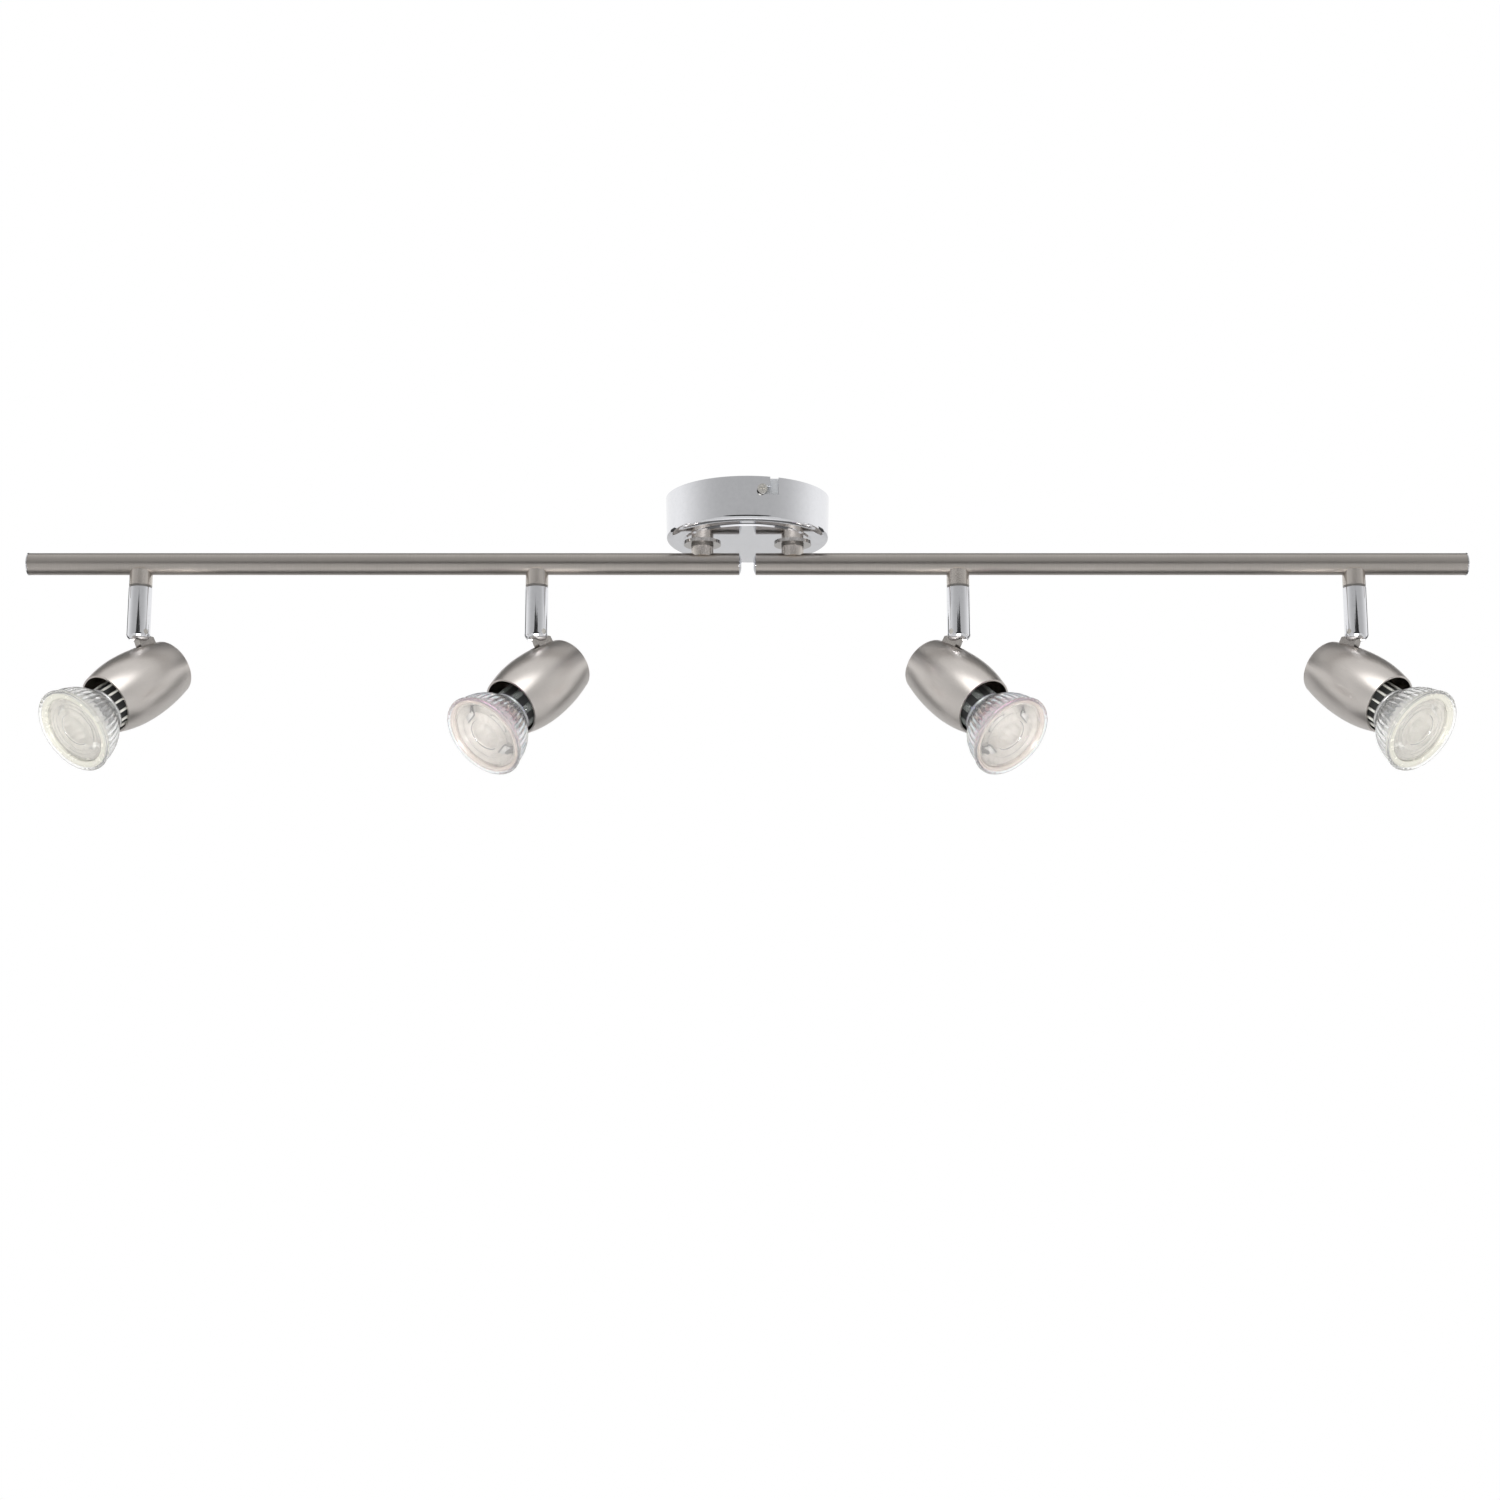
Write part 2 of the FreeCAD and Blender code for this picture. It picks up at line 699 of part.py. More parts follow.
def lamp_placement(spot, side):
    """The holder and lamp hang a little below the barrel's axis, turned about the holder's back."""
    back = vector(0, 0, holder_back())
    turn = FreeCAD.Rotation(FreeCAD.Vector(0, 1, 0), -size("lamp_sag").value)
    return head_placement(spot, side) * FreeCAD.Placement(FreeCAD.Vector(), turn, back)


def stem_outline():
    """Stem with a rounded foot, a running spigot above and a flared head inside the collar."""
    radius, low, rounding = size("stem_radius"), -size("stem_bottom"), size("stem_rounding")
    shoulder = -(size("collar_bottom") + size("swivel_ring_height") + size("seat_gap"))
    spigot, head = size("spigot_radius"), size("spigot_head_radius")
    seat = -(size("collar_bottom") - size("collar_floor") - size("seat_gap"))
    crown, bore = seat + size("spigot_head_height"), size("stem_bore")
    diagonal = rounding * (1 - math.sqrt(0.5))
    return [
        (bore, low),
        (radius - rounding, low, radius - diagonal, low + diagonal),
        (radius, low + rounding),
        (radius, shoulder - size("edge_break")),
        (radius - size("edge_break"), shoulder),
        (spigot, shoulder),
        (spigot, seat),
        (head, seat),
        (head, crown),
        (bore, crown),
    ]


def make_stem(spot, side):
    name = "%s_%s" % (spot, side)
    body = lathe("stem_" + name, stem_outline())
    radius, width, height = size("stem_radius"), lug_slot_width(), size("slot_height")
    front = size("lug_tip_radius") + size("loose_gap")
    slot = box("stem_slot_" + name, radius + 1 + front, width, height + 1,
               x=-(radius + 1), y=-width / 2, z=-(size("stem_bottom") + 1))
    pin_hole = cross_cylinder("stem_pin_hole_" + name, size("pin_radius") + size("seat_gap") / 2, radius * 2 + 2,
                              "Y", y=-(radius + 1), z=-size("pivot_drop"))
    publish(cut("stem_" + name, body, slot, pin_hole), "stem_" + name, stem_placement(spot, side))
    reach = radius - size("pin_inset")
    pin = bind(doc.addObject("Part::Cylinder", "pin_" + name), Radius=size("pin_radius"), Height=reach * 2)
    across = FreeCAD.Rotation(vector(1, 0, 0), -90)
    place = stem_placement(spot, side) * FreeCAD.Placement(vector(0, -reach, -size("pivot_drop")), across)
    publish(pin, "pivot_pin_" + name, place)


def barrel_skin(name, inset):
    """Solid bullet of the barrel's outside, or of its inside when inset by the wall."""
    mouth, belly, tail = (size(part + "_radius") - inset for part in ("mouth", "belly", "tail"))
    rounding, back = size("tail_rounding"), -size("tail_reach") + inset
    diagonal = rounding * (1 - math.sqrt(0.5))
    front, middle = size("mouth_reach"), size("belly_reach")
    return lathe(name, [
        (0, back),
        (tail - rounding, back, tail - diagonal, back + diagonal),
        (tail, back + rounding, belly - (belly - tail) / 4, (back + rounding + middle) / 2),
        (belly, middle, belly - (belly - mouth) / 4, (middle + front) / 2),
        (mouth, front),
        (0, front),
    ])


def make_barrel(spot, side):
    """Turned bullet, open at the mouth, slotted for the lug, with two bosses for the lampholder."""
    name = "%s_%s" % (spot, side)
    outside = barrel_skin("barrel_out_" + name, as_size(0))
    inside = barrel_skin("barrel_in_" + name, size("barrel_wall"))
    opening = size("mouth_radius") - size("barrel_wall")
    mouth = cylinder("barrel_mouth_" + name, opening, 2, z=size("mouth_reach") - 1)
    half, back = lug_slot_width() / 2, size("lug_slot_back")
    above = size("tail_radius") / 2
    slot = box("lug_slot_" + name, size("belly_radius"), half * 2, size("lug_slot_front") + back,
               x=above, y=-half, z=-back)
    shell = cut("barrel_shell_" + name, outside, inside, mouth, slot)
    start = -size("tail_reach") + size("barrel_wall") / 2
    bosses = [cylinder("boss%d_%s" % (sign, name), size("boss_radius"), holder_back() - size("boss_gap") - start,
                       y=size("boss_offset") * sign, z=start) for sign in (-1, 1)]
    publish(fuse("barrel_" + name, shell, *bosses), "barrel_" + name, head_placement(spot, side))


def holder_front():
    """The lampholder's face, just behind the lamp's shoulder."""
    return size("face_reach") - size("lamp_length") - size("loose_gap")


def holder_back():
    return holder_front() - size("holder_length") - size("seat_gap")


def make_lug(spot, side):
    """Flat tab that stands out of the barrel's slot, round at the pin and wider at its foot."""
    name = "%s_%s" % (spot, side)
    pivot, tip = pivot_offset(), size("lug_tip_radius")
    foot, shift = size("lug_foot_length") / 2, size("lug_foot_shift")
    inside = size("tail_radius") - size("lug_root")
    knee = pivot - tip
    tab = plate("lug_tab_" + name, [
        (inside, -(foot + shift)),
        (size("belly_radius"), -(foot + shift)),
        (knee, -tip),
        (pivot, -tip, pivot + tip, 0),
        (pivot, tip),
        (knee, tip),
        (size("belly_radius"), foot - shift),
        (inside, foot - shift),
    ], size("lug_thickness"), "XZ_Plane")
    hole = cross_cylinder("lug_hole_" + name, size("pin_radius") + size("running_gap"), size("lug_thickness") + 2,
                          "Y", x=pivot, y=-(size("lug_thickness") / 2 + 1))
    publish(cut("lug_" + name, tab, hole), "tilt_lug_" + name, head_placement(spot, side))


def make_lampholder(spot, side):
    """Ceramic holder with a round way in for each contact of the lamp."""
    name = "%s_%s" % (spot, side)
    front, length = holder_front(), size("holder_length")
    drum = cylinder("holder_drum_" + name, size("holder_radius"), length, z=front - length)
    ways = [cylinder("holder_way%d_%s" % (sign, name), size("contact_head_radius") + size("loose_gap"),
                     size("contact_length") + 2, y=size("pin_spacing") / 2 * sign,
                     z=front - size("contact_length") - 1) for sign in (-1, 1)]
    publish(cut("lampholder_" + name, drum, *ways), "lampholder_" + name, lamp_placement(spot, side))


def glass_outline():
    """Reflector-shaped glass, flared to the rim and drawn in to a neck, open at the face."""
    face, rim, glass = size("face_reach"), size("lamp_radius"), size("lamp_glass")
    shoulder, neck = face - size("lamp_shoulder"), face - size("lamp_neck")
    wide, narrow = size("lamp_shoulder_radius"), size("lamp_neck_radius")
    foot = face - size("lamp_length") + size("lamp_base_height")
    flare = face - size("lamp_rim")
    bulge = (rim + wide) / 2 + size("lamp_bulge")
    middle = (flare + shoulder) / 2
    base, lip, edge = size("lamp_base_radius"), size("lamp_lip"), size("lamp_edge")
    return [
        (base - glass, foot),
        (base, foot),
        (narrow, neck - size("lamp_rim")),
        (narrow, neck),
        (wide, shoulder, bulge, middle),
        (rim - lip, flare),
        (rim, flare + lip),
        (rim, face - edge),
        (rim - edge, face),
        (rim - glass - edge, face),
        (rim - glass - lip, flare, bulge - glass, middle),
        (wide - glass, shoulder + glass / 2),
        (narrow - glass, neck + glass / 2),
        (narrow - glass, neck - size("lamp_rim")),
    ]


def make_lamp(spot, side):
    """LED lamp with a glass body, a front lens, and a base with two contacts."""
    name = "%s_%s" % (spot, side)
    place = lamp_placement(spot, side)
    publish(lathe("glass_" + name, glass_outline()), "bulb_glass_" + name, place)
    face, thick = size("face_reach"), size("lens_thickness")
    lens = size("lamp_radius") - size("lamp_glass") - size("lamp_lip") - size("seat_gap")
    low, inset = face - size("lens_inset") - thick, size("lens_inset")
    edge, flat = low + thick * 0.6, size("crown_flat")
    publish(lathe("lens_" + name, [
        (0, low), (lens, low), (lens, edge, lens * 0.6, edge + (face - inset - edge) * 0.7),
        (flat, face - inset), (0, face - inset)]), "bulb_lens_" + name, place)
    shoulder = face - size("lamp_length")
    top = shoulder + size("lamp_base_height") - size("seat_gap")
    board = face - size("led_depth")
    core = size("lamp_base_radius") - size("lamp_glass") - size("loose_gap") * 2
    column = lathe("base_" + name, [
        (0, shoulder), (size("lamp_base_radius"), shoulder), (size("lamp_base_radius"), top), (core, top),
        (core, board - size("led_board")), (size("led_board_radius"), board - size("led_board")),
        (size("led_board_radius"), board), (0, board)])
    pieces = [column]
    for sign in (-1, 1):
        y = size("pin_spacing") / 2 * sign
        low = shoulder - size("contact_length")
        pieces.append(cylinder("contact%d_%s" % (sign, name), size("contact_radius"),
                               size("contact_length") + 1, y=y, z=low))
        pieces.append(cylinder("contact_head%d_%s" % (sign, name), size("contact_head_radius"),
                               size("contact_head_height"), y=y, z=low))
    publish(fuse("lamp_base_" + name, *pieces), "bulb_base_" + name, place)


def check_pieces():
    """Stop on any failed object or broken solid before anything is written."""
    for item in doc.Objects:
        if "Invalid" in item.State or "Error" in item.State:
            raise RuntimeError("%s did not compute" % item.Label)
    for item in nodes:
        if item.Shape.isNull() or not item.Shape.isValid() or item.Shape.Volume <= 0:
            raise RuntimeError("%s has no sound solid" % item.Label)


def export_pieces():
    os.makedirs("parts", exist_ok=True)
    for item in nodes:
        item.Shape.exportStep("parts/%s.step" % item.Label)
        print("%-28s %d solid(s) %9.1f mm3" % (item.Label, len(item.Shape.Solids), item.Shape.Volume))


def main():
    fill_sheet()
    make_cover()
    make_bracket()
    make_cover_screws()
    make_terminal_block()
    make_earth_screw()
    make_post_hardware()
    for side in SIDES:
        make_tube(side)
        make_bar_ends(side)
        make_post(side)
        make_lock_nut(side)
        make_leads(side)
        make_collars(side)
        for spot in HEADINGS:
            make_stem(spot, side)
            make_lug(spot, side)
            make_barrel(spot, side)
            make_lampholder(spot, side)
            make_lamp(spot, side)
    doc.recompute()
    check_pieces()
    export_pieces()


main()
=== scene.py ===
"""Looks of a ceiling spot bar: a chrome canopy, two satin half-bars and four tilting spots."""

import logging
import math
from dataclasses import dataclass, field
from enum import Enum
from typing import Iterable, Optional, Sequence

import bmesh
import bpy
import numpy as np
from mathutils import Matrix, Vector


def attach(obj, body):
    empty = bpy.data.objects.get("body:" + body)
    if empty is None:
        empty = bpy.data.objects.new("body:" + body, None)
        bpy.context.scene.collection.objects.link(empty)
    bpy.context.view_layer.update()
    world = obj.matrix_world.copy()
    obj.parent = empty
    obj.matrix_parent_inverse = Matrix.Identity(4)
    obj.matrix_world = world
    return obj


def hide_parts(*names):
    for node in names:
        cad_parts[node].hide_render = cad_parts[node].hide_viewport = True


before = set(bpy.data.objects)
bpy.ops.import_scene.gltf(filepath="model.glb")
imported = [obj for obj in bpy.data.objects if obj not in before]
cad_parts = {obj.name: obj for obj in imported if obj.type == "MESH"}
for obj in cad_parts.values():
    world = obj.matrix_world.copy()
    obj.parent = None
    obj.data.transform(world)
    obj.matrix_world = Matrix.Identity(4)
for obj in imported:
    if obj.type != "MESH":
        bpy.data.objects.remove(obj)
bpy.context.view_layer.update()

MM = 0.001
HALVES = ("left", "right")
SPOTS = tuple(f"{place}_{half}" for half in HALVES for place in ("inner", "outer"))
Colour = tuple[float, float, float]
Point = tuple[float, float, float]

NOISE_LOW, NOISE_HIGH = 0.3, 0.7
SHARP_ANGLE = math.radians(35)
FLUTE_SHARPNESS = 0.7
BLOCK_SEGMENTS = 3
SENSOR_WIDTH = 36.0

logging.basicConfig(level=logging.INFO, format="%(message)s")
log = logging.getLogger("spot_bar")


class Grain(Enum):
    """Which way the polishing lines of a metal run, as noise scales along X, Y and Z."""

    AROUND_X = (5200.0, 160.0, 160.0)
    ALONG_Z = (5200.0, 5200.0, 90.0)
    AROUND_Z = (160.0, 160.0, 5200.0)
    NONE = (420.0, 420.0, 420.0)


class LampKind(Enum):
    """The two makes of lamp: a frosted outer pair, and a clear inner pair with a coloured film."""

    FROSTED = "frosted"
    FILMED = "filmed"


class Shader:
    """A material's node tree with short ways to add nodes and join them."""

    def __init__(self, name: str) -> None:
        """Makes a material that holds one surface shader.

        Args:
            name: The material's name.
        """
        self.material = bpy.data.materials.new(name)
        self.material.use_nodes = True
        self.tree = self.material.node_tree
        self.tree.nodes.clear()
        self.surface = self.add("ShaderNodeBsdfPrincipled")
        output = self.add("ShaderNodeOutputMaterial")
        self.tree.links.new(self.surface.outputs[0], output.inputs["Surface"])

    def add(self, kind: str, **settings: object) -> bpy.types.Node:
        """Adds a node.

        Args:
            kind: The node's type.
            settings: Attributes to set on it.

        Returns:
            The new node.
        """
        node = self.tree.nodes.new(kind)
        for key, value in settings.items():
            setattr(node, key, value)
        return node

    def fill(self, node: bpy.types.Node, **values: object) -> bpy.types.Node:
        """Sets or joins a node's inputs, whose names have underscores for spaces.

        Args:
            node: The node to fill.
            values: A number, a colour or another node's output for each input.

        Returns:
            The same node.
        """
        for key, value in values.items():
            socket = node.inputs[key.replace("_", " ")]
            if isinstance(value, bpy.types.NodeSocket):
                self.tree.links.new(value, socket)
            else:
                socket.default_value = value
        return node

    def place(self, scale: Sequence[float], turn: Optional[Matrix] = None) -> bpy.types.NodeSocket:
        """Gives the object's own coordinates, turned and scaled.

        Args:
            scale: How much each axis is stretched after the turn.
            turn: Takes a point of the object to the piece's own axes, or None.

        Returns:
            The coordinates' output.
        """
        here = self.add("ShaderNodeTexCoord").outputs["Object"]
        if turn is not None:
            mapping = self.add("ShaderNodeMapping", vector_type="POINT")
            self.fill(mapping, Vector=here, Location=turn.to_translation(),
                      Rotation=turn.to_euler())
            here = mapping.outputs[0]
        stretch = self.add("ShaderNodeMapping", vector_type="POINT")
        self.fill(stretch, Vector=here, Scale=tuple(scale))
        return stretch.outputs[0]

    def noise(self, where: bpy.types.NodeSocket, detail: float) -> bpy.types.NodeSocket:
        """Adds cloudy noise and gives its strength from 0 to 1.

        Args:
            where: The coordinates that it follows.
            detail: How many finer layers it has.

        Returns:
            The noise's output.
        """
        node = self.add("ShaderNodeTexNoise")
        self.fill(node, Vector=where, Scale=1.0, Detail=detail)
        return node.outputs[0]

    def spread(self, value: bpy.types.NodeSocket, low: float, high: float,
               start: float = NOISE_LOW, stop: float = NOISE_HIGH) -> bpy.types.NodeSocket:
        """Maps a value from one range to another, held at its ends.

        Args:
            value: The value to map.
            low: What start becomes.
            high: What stop becomes.
            start: The lowest value expected.
            stop: The highest value expected.

        Returns:
            The mapped value's output.
        """
        node = self.add("ShaderNodeMapRange")
        self.fill(node, Value=value, From_Min=start, From_Max=stop, To_Min=low, To_Max=high)
        return node.outputs[0]

    def blend(self, share: bpy.types.NodeSocket, first: Colour,
              second: Colour) -> bpy.types.NodeSocket:
        """Mixes two colours.

        Args:
            share: How much of the second colour there is.
            first: The colour at 0.
            second: The colour at 1.

        Returns:
            The mixed colour's output.
        """
        node = self.add("ShaderNodeMix", data_type="RGBA")
        self.tree.links.new(share, node.inputs[0])
        node.inputs[6].default_value = (*first, 1.0)
        node.inputs[7].default_value = (*second, 1.0)
        return node.outputs[2]

    def bump(self, height: bpy.types.NodeSocket, depth: float, strength: float = 1.0) -> None:
        """Roughens the surface.

        Args:
            height: The height from 0 to 1.
            depth: The depth of the marks in metres.
            strength: How much of the bump shows.
        """
        node = self.add("ShaderNodeBump")
        self.fill(node, Height=height, Distance=depth, Strength=strength)
        self.fill(self.surface, Normal=node.outputs[0])


@dataclass(frozen=True)
class Metal:
    """A plated or bare metal with fine polishing lines and small changes of polish."""

    name: str
    colour: Colour
    shade: Colour
    roughness: float
    wander: float
    grain: Grain = Grain.NONE
    depth: float = 4e-6
    line_share: float = 0.65
    cloud_share: float = 0.35
    cloud_scale: float = 38.0

    def material(self, turn: Optional[Matrix] = None, tag: str = "") -> bpy.types.Material:
        """Makes the metal's material.

        Args:
            turn: Takes a point to the axes that the grain follows, or None.
            tag: Added to the name where a finish is made once for each piece.

        Returns:
            The new material.
        """
        shader = Shader(self.name + tag)
        lines = shader.noise(shader.place(self.grain.value, turn), 4.0)
        cloud = shader.noise(shader.place((self.cloud_scale,) * 3), 5.0)
        mixed = shader.add("ShaderNodeMath", operation="MULTIPLY_ADD")
        mixed.inputs[1].default_value = self.line_share
        shader.tree.links.new(lines, mixed.inputs[0])
        clouded = shader.spread(cloud, 0.0, self.cloud_share, 0.0, 1.0)
        shader.tree.links.new(clouded, mixed.inputs[2])
        tone = mixed.outputs[0]
        rough, wander = self.roughness, self.wander
        shader.fill(
            shader.surface,
            Base_Color=shader.blend(shader.spread(tone, 0.0, 1.0), self.colour, self.shade),
            Metallic=1.0,
            Roughness=shader.spread(tone, rough - wander, rough + wander),
        )
        shader.bump(lines, self.depth)
        return shader.material


@dataclass(frozen=True)
class Moulded:
    """A moulded plastic, fibre or ceramic with a faint cast texture."""

    name: str
    colour: Colour
    shade: Colour
    roughness: float
    cells: float = 900.0
    depth: float = 3e-5
    coat: float = 0.0
    wander: float = 0.08
    cloud_scale: float = 60.0

    def material(self) -> bpy.types.Material:
        """Makes the material.

        Returns:
            The new material.
        """
        shader = Shader(self.name)
        fine = shader.noise(shader.place((self.cells,) * 3), 6.0)
        cloud = shader.noise(shader.place((self.cloud_scale,) * 3), 3.0)
        share = shader.spread(cloud, 0.0, 1.0, 0.35, 0.65)
        rough, wander = self.roughness, self.wander
        shader.fill(
            shader.surface,
            Base_Color=shader.blend(share, self.colour, self.shade),
            Roughness=shader.spread(fine, rough - wander, rough + wander),
            Coat_Weight=self.coat,
        )
        shader.bump(fine, self.depth, 0.5)
        return shader.material


@dataclass(frozen=True)
class Glass:
    """Pressed glass, clear or milky, with faint flow lines and in places a thin coloured film."""

    name: str
    colour: Colour
    roughness: float
    haze: float = 0.0
    ripple: float = 5e-6
    film: float = 0.0
    milk: float = 0.0
    glass_ior: float = 1.47
    film_ior: float = 1.8
    flow_scale: float = 240.0

    def material(self) -> bpy.types.Material:
        """Makes the glass's material.

        Returns:
            The new material.
        """
        shader = Shader(self.name)
        flow = shader.noise(shader.place((self.flow_scale,) * 3), 3.0)
        shader.fill(
            shader.surface,
            Base_Color=(*self.colour, 1.0),
            Roughness=shader.spread(flow, self.roughness, self.roughness + self.haze),
            Transmission_Weight=1.0 - self.milk,
            IOR=self.glass_ior,
            Thin_Film_Thickness=self.film,
            Thin_Film_IOR=self.film_ior,
        )
        shader.bump(flow, self.ripple, 0.4)
        return shader.material


CHROME = Metal("polished_chrome", (0.80, 0.805, 0.83), (0.76, 0.765, 0.79), 0.05, 0.015,
               depth=2e-7)
# Darker nickel on the post rings and swivel rings: painted shade standing in for the shade in the
# seams between parts.
PAINTED_SEAM_SHADE = Metal("painted_seam_shade", (0.30, 0.285, 0.27), (0.20, 0.19, 0.18), 0.30, 0.04,
                    Grain.AROUND_Z, 2e-6)
BAR_NICKEL = Metal("satin_nickel_bar", (0.50, 0.465, 0.435), (0.43, 0.40, 0.37), 0.36, 0.03,
                   Grain.AROUND_X, 1e-6)
POST_NICKEL = Metal("satin_nickel_post", (0.60, 0.56, 0.52), (0.57, 0.53, 0.49), 0.24, 0.03,
                    depth=2e-7)
WASHER_NICKEL = Metal("bright_nickel_washer", (0.50, 0.48, 0.46), (0.44, 0.42, 0.40), 0.15, 0.04,
                      depth=1e-7)
SPOT_NICKEL = Metal("satin_nickel_spot", (0.68, 0.64, 0.605), (0.60, 0.565, 0.535), 0.33, 0.03,
                    Grain.ALONG_Z, 1e-6)
LUG_NICKEL = Metal("cast_nickel_lug", (0.46, 0.435, 0.41), (0.36, 0.34, 0.32), 0.24, 0.05,
                   depth=1e-6)
ZINC = Metal("dull_zinc", (0.62, 0.63, 0.64), (0.44, 0.46, 0.49), 0.38, 0.10, depth=2e-5)
SCREW_STEEL = Metal("bright_screw", (0.76, 0.74, 0.70), (0.60, 0.58, 0.54), 0.20, 0.07,
                    depth=8e-6)
BRASS = Metal("machined_brass", (0.80, 0.62, 0.32), (0.66, 0.50, 0.25), 0.26, 0.06,
              Grain.AROUND_Z, 5e-6)
LAMP_STEEL = Metal("lamp_pressing", (0.80, 0.80, 0.80), (0.62, 0.62, 0.63), 0.22, 0.08,
                   depth=1e-5)
CLIP_WHITE = Moulded("lamp_clip", (0.97, 0.97, 0.97), (0.93, 0.93, 0.92), 0.2, coat=0.5)
CLIP_FOOT = Moulded("lamp_clip_foot", (0.16, 0.155, 0.15), (0.10, 0.10, 0.10), 0.35)
FIBRE = Moulded("hard_fibre", (0.30, 0.15, 0.08), (0.21, 0.10, 0.05), 0.62)
NYLON = Moulded("terminal_nylon", (0.80, 0.79, 0.74), (0.72, 0.70, 0.64), 0.42)
LEAD = Moulded("lead_insulation", (0.10, 0.18, 0.46), (0.07, 0.13, 0.36), 0.40)
CERAMIC = Moulded("holder_ceramic", (0.78, 0.75, 0.69), (0.70, 0.67, 0.60), 0.66, 1400.0, 5e-5)
LAMP_PLASTIC = Moulded("lamp_base_plastic", (0.86, 0.86, 0.84), (0.80, 0.80, 0.77), 0.34,
                       coat=0.2)
BOARD = Moulded("lamp_board", (0.90, 0.89, 0.86), (0.84, 0.83, 0.79), 0.5)
PHOSPHOR = Moulded("lamp_phosphor", (0.93, 0.80, 0.58), (0.90, 0.74, 0.50), 0.45)
OPTIC = Moulded("lamp_optic", (0.80, 0.775, 0.74), (0.74, 0.715, 0.67), 0.28, 260.0, 1e-5,
                coat=0.5)
DARK_CORE = Moulded("lamp_dark_core", (0.035, 0.036, 0.036), (0.02, 0.02, 0.02), 0.45)
RIBBED_GLASS = {
    LampKind.FROSTED: Glass("lamp_ribbed_glass", (1.0, 1.0, 0.99), 0.02, 0.03, milk=0.16),
    LampKind.FILMED: Glass("lamp_filmed_glass", (0.975, 0.965, 0.99), 0.02, 0.03, film=460.0,
                           milk=0.14),
}
NECK_BAR = {
    LampKind.FROSTED: Glass("lamp_neck_bar", (0.96, 0.95, 0.88), 0.08, 0.05, milk=0.55),
    LampKind.FILMED: Glass("lamp_neck_lump", (0.86, 0.92, 0.88), 0.03, 0.02, ripple=4e-5,
                           milk=0.12),
}
LENS_GLASS = {
    LampKind.FROSTED: Glass("lamp_frosted_lens", (1.0, 0.99, 0.96), 0.08, 0.06, milk=0.16),
    LampKind.FILMED: Glass("lamp_filmed_lens", (1.0, 0.985, 0.97), 0.02, 0.02, milk=0.10),
}
COLLAR_GLASS = {
    LampKind.FROSTED: Glass("lamp_cream_collar", (0.74, 0.725, 0.65), 0.2, 0.1, milk=0.7),
    LampKind.FILMED: Glass("lamp_clear_collar", (0.90, 0.82, 0.77), 0.06, 0.05, milk=0.35),
}


@dataclass(frozen=True)
class Ring:
    """One ring of a turned shape, in millimetres: its radius, its height and its flutes' depth."""

    radius: float
    height: float
    flute: float = 0.0


def arc(start: tuple[float, float], stop: tuple[float, float], bulge: float, steps: int,
        flute: float = 0.0) -> list[Ring]:
    """Draws a shallow arc between two points of a turned outline.

    Args:
        start: Radius and height of the first point.
        stop: Radius and height of the last point.
        bulge: How far the middle stands off the straight line, to the right of the way along it.
        steps: How many pieces the arc has.
        flute: Depth of the flutes on it.

    Returns:
        The rings after the first, up to the last.
    """
    a, b = Vector(start), Vector(stop)
    side = Vector((b.y - a.y, a.x - b.x)).normalized()
    rings = []
    for step in range(1, steps + 1):
        share = step / steps
        point = a.lerp(b, share) + side * bulge * 4 * share * (1 - share)
        rings.append(Ring(point.x, point.y, flute))
    return rings


def ring_points(ring: Ring, flutes: int, segments: int) -> list[Point]:
    """Gives the points round one ring, or one point where the ring has no radius.

    Args:
        ring: The ring.
        flutes: How many flutes go round it.
        segments: How many points go round it.

    Returns:
        The points in metres.
    """
    if ring.radius < 1e-6:
        return [(0.0, 0.0, ring.height * MM)]
    points = []
    for k in range(segments):
        angle = math.tau * k / segments
        wave = (0.5 - 0.5 * math.cos(flutes * angle)) ** FLUTE_SHARPNESS if ring.flute else 0.0
        radius = (ring.radius - ring.flute * wave) * MM
        points.append((radius * math.cos(angle), radius * math.sin(angle), ring.height * MM))
    return points


def placed(name: str, mesh: bmesh.types.BMesh) -> bpy.types.Object:
    """Turns a mesh being built into an object of the scene.

    Args:
        name: The new object's name.
        mesh: The mesh, which is freed.

    Returns:
        The new object, at the origin.
    """
    data = bpy.data.meshes.new(name)
    mesh.to_mesh(data)
    mesh.free()
    thing = bpy.data.objects.new(name, data)
    bpy.context.scene.collection.objects.link(thing)
    return thing


def turned(name: str, rings: Sequence[Ring], flutes: int = 0, segments: int = 120,
           closed: bool = True, slots: Optional[Sequence[int]] = None) -> bpy.types.Object:
    """Makes a turned mesh about Z from its rings.

    Args:
        name: The new object's name.
        rings: The outline's rings in order.
        flutes: How many flutes go round it.
        segments: How many faces go round it.
        closed: Joins the last ring to the first, for a hollow piece.
        slots: The material slot of each band that starts at a ring, or None for the first slot.

    Returns:
        The new object, at the origin.
    """
    mesh = bmesh.new()
    rows = [[mesh.verts.new(point) for point in ring_points(ring, flutes, segments)]
            for ring in rings]
    pairs = list(zip(rows, rows[1:] + rows[:1])) if closed else list(zip(rows, rows[1:]))
    for index, (low, high) in enumerate(pairs):
        for k in range(segments):
            after = (k + 1) % segments
            corners = [low[k % len(low)], low[after % len(low)],
                       high[after % len(high)], high[k % len(high)]]
            corners = list(dict.fromkeys(corners))
            if len(corners) > 2:
                face = mesh.faces.new(corners)
                face.smooth = True
                face.material_index = slots[index] if slots else 0
    bmesh.ops.recalc_face_normals(mesh, faces=mesh.faces)
    thing = placed(name, mesh)
    thing.data.set_sharp_from_angle(angle=SHARP_ANGLE)
    return thing


